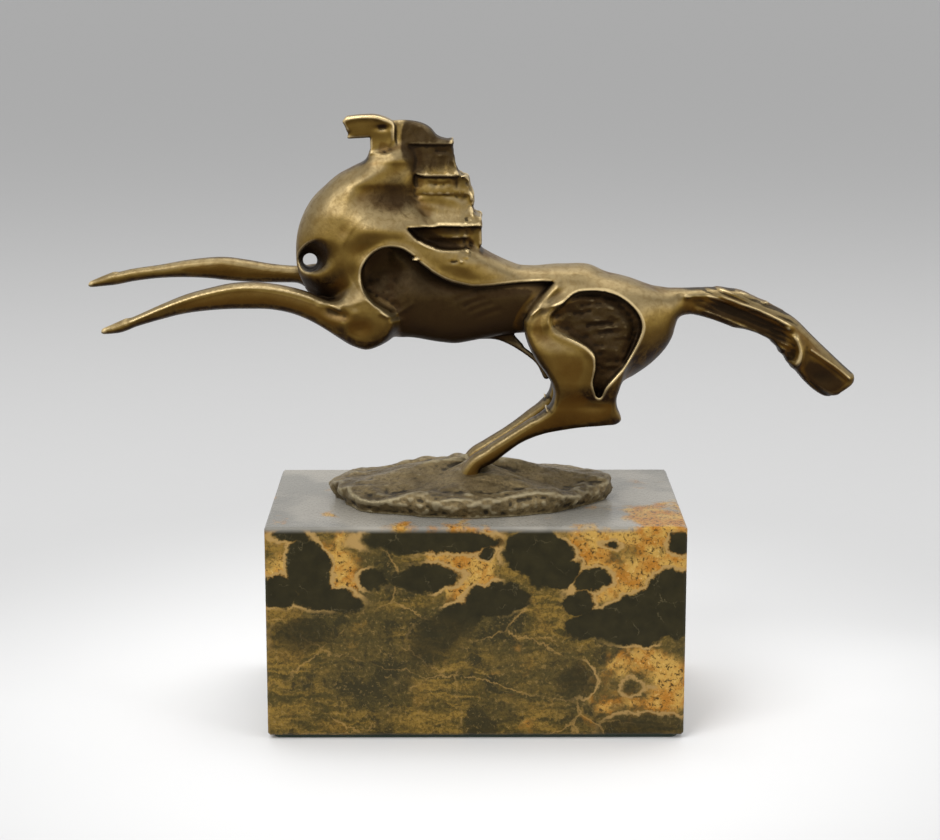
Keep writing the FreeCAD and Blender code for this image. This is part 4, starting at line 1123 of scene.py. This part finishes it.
def marble():
    """Polished breccia: near-black stones in a crumbled golden vein, over streaky olive-brown."""
    graph = Graph("black_and_gold_marble")
    place = graph.place()
    low, high = box_mm("marble_block")
    cloudy = {"Vector": place, "Scale": 0.10, "Detail": 7.0, "Roughness": 0.68}
    warp = graph.add("ShaderNodeTexNoise", cloudy).outputs["Color"]
    bent = graph.add("ShaderNodeVectorMath", {0: warp, 1: (0.5, 0.5, 0.5)}, operation="SUBTRACT")
    bent = graph.add("ShaderNodeVectorMath", {0: bent.outputs[0], 3: 10.0}, operation="SCALE")
    bent = graph.add("ShaderNodeVectorMath", {0: place, 1: bent.outputs[0]}, operation="ADD").outputs[0]
    split = graph.add("ShaderNodeSeparateXYZ", {0: place})
    across = split.outputs[0]
    deep = split.outputs[1]
    up = split.outputs[2]
    # dark stones: listed one by one at the front, scattered elsewhere
    hand = stone_gap(graph, bent)
    loose = graph.cells(graph.stretch(bent, 0.8, 1.0, 1.35), 0.040)
    loose = graph.times(graph.less(0.16, loose), 24.0)
    away = graph.span(deep, low[1] + 3, low[1] + 16, 0.0, 30.0)
    top_face = graph.span(up, high[2] - 2.5, high[2] - 0.5)
    gap = graph.least(graph.plus(hand, away), graph.less(graph.plus(loose, 8.0), graph.times(away, 0.3)))
    slant = graph.times(graph.most(graph.plus(across, 12.0), 0.0), 0.22)
    firm = graph.span(graph.plus(up, slant), 40.0, 50.0)
    stone = graph.mix(firm, graph.span(gap, 2.5, -3.5, 0.0, 0.8), graph.span(gap, 0.6, -0.4))
    rim = graph.span(graph.math("ABSOLUTE", graph.less(gap, 0.7)), 0.9, 0.15)
    # where the golden vein is thick
    band = graph.span(up, 44.0, 58.0)
    left = graph.span(across, -34.0, -47.0)
    right = graph.span(across, 26.0, 44.0)
    centre = graph.span(graph.math("ABSOLUTE", graph.less(across, -4.0)), 16.0, 6.0)
    where = graph.most(graph.most(graph.times(left, 0.8), right), centre)
    low_right = graph.span(graph.math("ABSOLUTE", graph.less(up, 21.0)), 18.0, 6.0)
    low_right = graph.times(graph.span(across, 24.0, 66.0), low_right)
    cloud = graph.noise(bent, 0.055, 4.0, 0.6)
    rich = graph.most(graph.times(band, where), low_right)
    vein = graph.span(graph.plus(graph.times(rich, 0.34), cloud), 0.62, 0.78)
    # matrix colours
    streak = graph.noise(graph.stretch(bent, 0.06, 0.1, 0.42), 1.0, 6.0, 0.62, 0.6)
    murk = graph.noise(place, 0.035, 3.0, 0.5)
    matrix = graph.mix(graph.span(streak, 0.38, 0.66), (0.062, 0.046, 0.011), (0.235, 0.142, 0.026))
    matrix = graph.mix(graph.span(murk, 0.42, 0.62, 0.0, 0.8), matrix, (0.062, 0.047, 0.014))
    patch = graph.noise(bent, 0.075, 5.0, 0.7)
    matrix = graph.mix(graph.span(patch, 0.52, 0.62, 0.0, 0.8), matrix, (0.026, 0.023, 0.009))
    matrix = graph.mix(graph.span(patch, 0.42, 0.34, 0.0, 0.55), matrix, (0.20, 0.115, 0.022))
    crumble = graph.noise(place, 0.75, 6.0, 0.72, 0.5)
    matrix = graph.mix(graph.span(crumble, 0.46, 0.62, 0.0, 0.6), matrix, (0.030, 0.022, 0.008))
    matrix = graph.mix(graph.span(crumble, 0.44, 0.36, 0.0, 0.45), matrix, (0.28, 0.175, 0.055))
    shade = graph.noise(bent, 0.16, 4.0, 0.6)
    gold = graph.mix(graph.span(shade, 0.38, 0.62), (0.36, 0.150, 0.018), (0.46, 0.275, 0.062))
    gold = graph.mix(graph.span(crumble, 0.58, 0.74), gold, (0.66, 0.47, 0.18))
    gold = graph.mix(graph.span(crumble, 0.49, 0.38), gold, (0.060, 0.033, 0.008))
    colour = graph.mix(vein, matrix, gold)
    # thin bright veins
    threads = graph.cells(graph.stretch(bent, 1.0, 1.0, 1.5), 0.032)
    thread = graph.times(graph.span(threads, 0.020, 0.002), graph.span(cloud, 0.42, 0.58))
    colour = graph.mix(graph.times(thread, 0.6), colour, (0.34, 0.205, 0.060))
    colour = graph.mix(graph.times(rim, graph.span(graph.plus(rich, cloud), 0.5, 0.9)), colour,
                       (0.36, 0.225, 0.075))
    dark = graph.mix(graph.noise(place, 0.2, 3.0, 0.5), (0.009, 0.008, 0.003), (0.036, 0.029, 0.010))
    hair = graph.span(graph.cells(bent, 0.085), 0.012, 0.0)
    dark = graph.mix(graph.times(hair, graph.span(shade, 0.5, 0.62, 0.0, 0.4)), dark, (0.20, 0.16, 0.08))
    colour = graph.mix(stone, colour, dark)
    # the top is mostly dark stone, painted grey as painted reflection, with gold at its front right and
    # specks elsewhere
    corner = graph.times(graph.span(across, 38.0, 66.0), graph.span(deep, 8.0, -20.0))
    edge = graph.times(graph.span(deep, low[1] + 16.0, low[1] + 3.0), graph.span(across, 4.0, -22.0))
    corner = graph.most(corner, graph.times(edge, 0.45))
    lit = graph.span(graph.plus(graph.times(corner, 0.30), cloud), 0.60, 0.74)
    painted_top_reflection = graph.mix(graph.span(murk, 0.4, 0.6), (0.21, 0.200, 0.175), (0.30, 0.280, 0.240))
    colour = graph.mix(top_face, colour, graph.mix(lit, painted_top_reflection, gold))
    gloss = graph.plus(graph.span(crumble, 0.3, 0.7, 0.12, 0.2), graph.times(top_face, 0.12))
    graph.set(base_color=colour, roughness=gloss, specular_ior_level=0.12)
    graph.bump(graph.noise(place, 0.5, 4.0, 0.6), 0.03 * MM, 0.4)
    return graph.material


def felt():
    """Dark felt: short fibres pressed in every direction."""
    graph = Graph("dark_felt")
    place = graph.place()
    fibres = graph.noise(place, 2.4, 6.0, 0.75, 1.4)
    clumps = graph.noise(place, 0.25, 3.0, 0.5)
    colour = graph.mix(graph.span(fibres, 0.35, 0.7), (0.010, 0.022, 0.014), (0.035, 0.060, 0.040))
    colour = graph.mix(graph.span(clumps, 0.4, 0.7, 0.0, 0.4), colour, (0.016, 0.030, 0.020))
    graph.set(base_color=colour, roughness=0.95, sheen_weight=0.4)
    graph.bump(fibres, 0.25 * MM, 0.9)
    return graph.material


def steel():
    """Zinc-plated steel with fine turning marks."""
    graph = Graph("plated_steel")
    place = graph.place()
    marks = graph.noise(graph.stretch(place, 0.6, 0.6, 9.0), 1.0, 4.0, 0.6)
    colour = graph.mix(graph.span(marks, 0.3, 0.7), (0.52, 0.52, 0.50), (0.66, 0.66, 0.64))
    graph.set(base_color=colour, roughness=graph.span(marks, 0.3, 0.7, 0.26, 0.4), metallic=1.0)
    graph.bump(marks, 0.05 * MM, 0.5)
    return graph.material


def floor_paint():
    """Pale studio paper, with painted shade that makes it a little greyer far from the object."""
    graph = Graph("pale_floor")
    coordinates = graph.add("ShaderNodeTexCoord").outputs["Object"]
    away = graph.add("ShaderNodeVectorMath", {0: coordinates}, operation="LENGTH").outputs["Value"]
    grain = graph.noise(coordinates, 60.0, 3.0, 0.5)
    # painted shade: the floor greys with distance from the object
    share = graph.math("LOGARITHM", graph.plus(away, 0.05), 10.0)
    tone = graph.span(share, -0.85, -0.42)
    colour = graph.mix(tone, (0.76, 0.76, 0.76), (0.488, 0.488, 0.488))
    colour = graph.mix(graph.times(grain, 0.04), colour, (0.6, 0.6, 0.6))
    graph.set(base_color=colour, roughness=0.9)
    return graph.material


# ---------------------------------------------------------------- stage
FLOOR_WIDE = 16.0  # metres from the middle to its edge
CAMERA_PLACE = (-5.4, -831.0, 284.1)  # millimetres
CAMERA_DOWN = 11.946  # degrees
CAMERA_ASIDE = 0.24  # degrees towards +X
CAMERA_LENS = 87.8  # millimetres, over a 36 mm sensor


def make_floor():
    """A wide round floor."""
    shape = bmesh.new()
    turns = 64
    angles = [math.tau * number / turns for number in range(turns)]
    ring = [(FLOOR_WIDE * math.cos(angle), FLOOR_WIDE * math.sin(angle), 0) for angle in angles]
    shape.faces.new([shape.verts.new(place) for place in ring])
    mesh = bpy.data.meshes.new("studio_floor")
    shape.to_mesh(mesh)
    shape.free()
    mesh.materials.append(floor_paint())
    floor = bpy.data.objects.new("studio_floor", mesh)
    bpy.context.scene.collection.objects.link(floor)


def make_camera():
    """A long lens, a little above the figure and square to the block's front."""
    data = bpy.data.cameras.new("camera")
    data.lens = CAMERA_LENS
    data.sensor_width = 36.0
    data.clip_end = 60.0
    camera = bpy.data.objects.new("camera", data)
    camera.location = Vector(CAMERA_PLACE) * MM
    camera.rotation_euler = Euler((math.radians(90 - CAMERA_DOWN), 0, math.radians(-CAMERA_ASIDE)))
    bpy.context.scene.collection.objects.link(camera)
    bpy.context.scene.camera = camera


def softbox(name, place, aim, size, power):
    """A rectangular light at a place, turned to its aim. Metres and watts."""
    data = bpy.data.lights.new(name, "AREA")
    data.shape = "RECTANGLE"
    data.size = size[0]
    data.size_y = size[1]
    data.energy = power
    lamp = bpy.data.objects.new(name, data)
    lamp.location = place
    lamp.rotation_euler = (Vector(aim) - Vector(place)).to_track_quat("-Z", "Y").to_euler()
    bpy.context.scene.collection.objects.link(lamp)


def light_studio():
    """Soft light from above and both sides, and a plain grey room."""
    middle = (0, 0, 0.14)
    softbox("key_softbox", (-0.55, -0.75, 1.05), middle, (0.7, 0.5), 9)
    softbox("top_softbox", (0.1, 0.35, 1.3), middle, (1.1, 0.7), 8)
    softbox("fill_softbox", (1.15, -0.8, 0.55), middle, (0.5, 0.9), 4)
    world = bpy.data.worlds.new("studio")
    world.use_nodes = True
    world.node_tree.nodes["Background"].inputs["Color"].default_value = (0.80, 0.80, 0.80, 1)
    world.node_tree.nodes["Background"].inputs["Strength"].default_value = 0.95
    bpy.context.scene.world = world
    bpy.context.scene.view_settings.view_transform = "Standard"


def paint_node(node, material):
    """Gives a CAD node one material."""
    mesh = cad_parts[node].data
    mesh.materials.clear()
    mesh.materials.append(material)


make_camera()
light_studio()
make_floor()
make_horse(bronze())
make_ground(ground_bronze())
make_felt(felt())
paint_node("marble_block", marble())
fixing_steel = steel()
for fixing in ("fixing_stud", "plain_washer", "spring_washer", "hex_nut"):
    paint_node(fixing, fixing_steel)
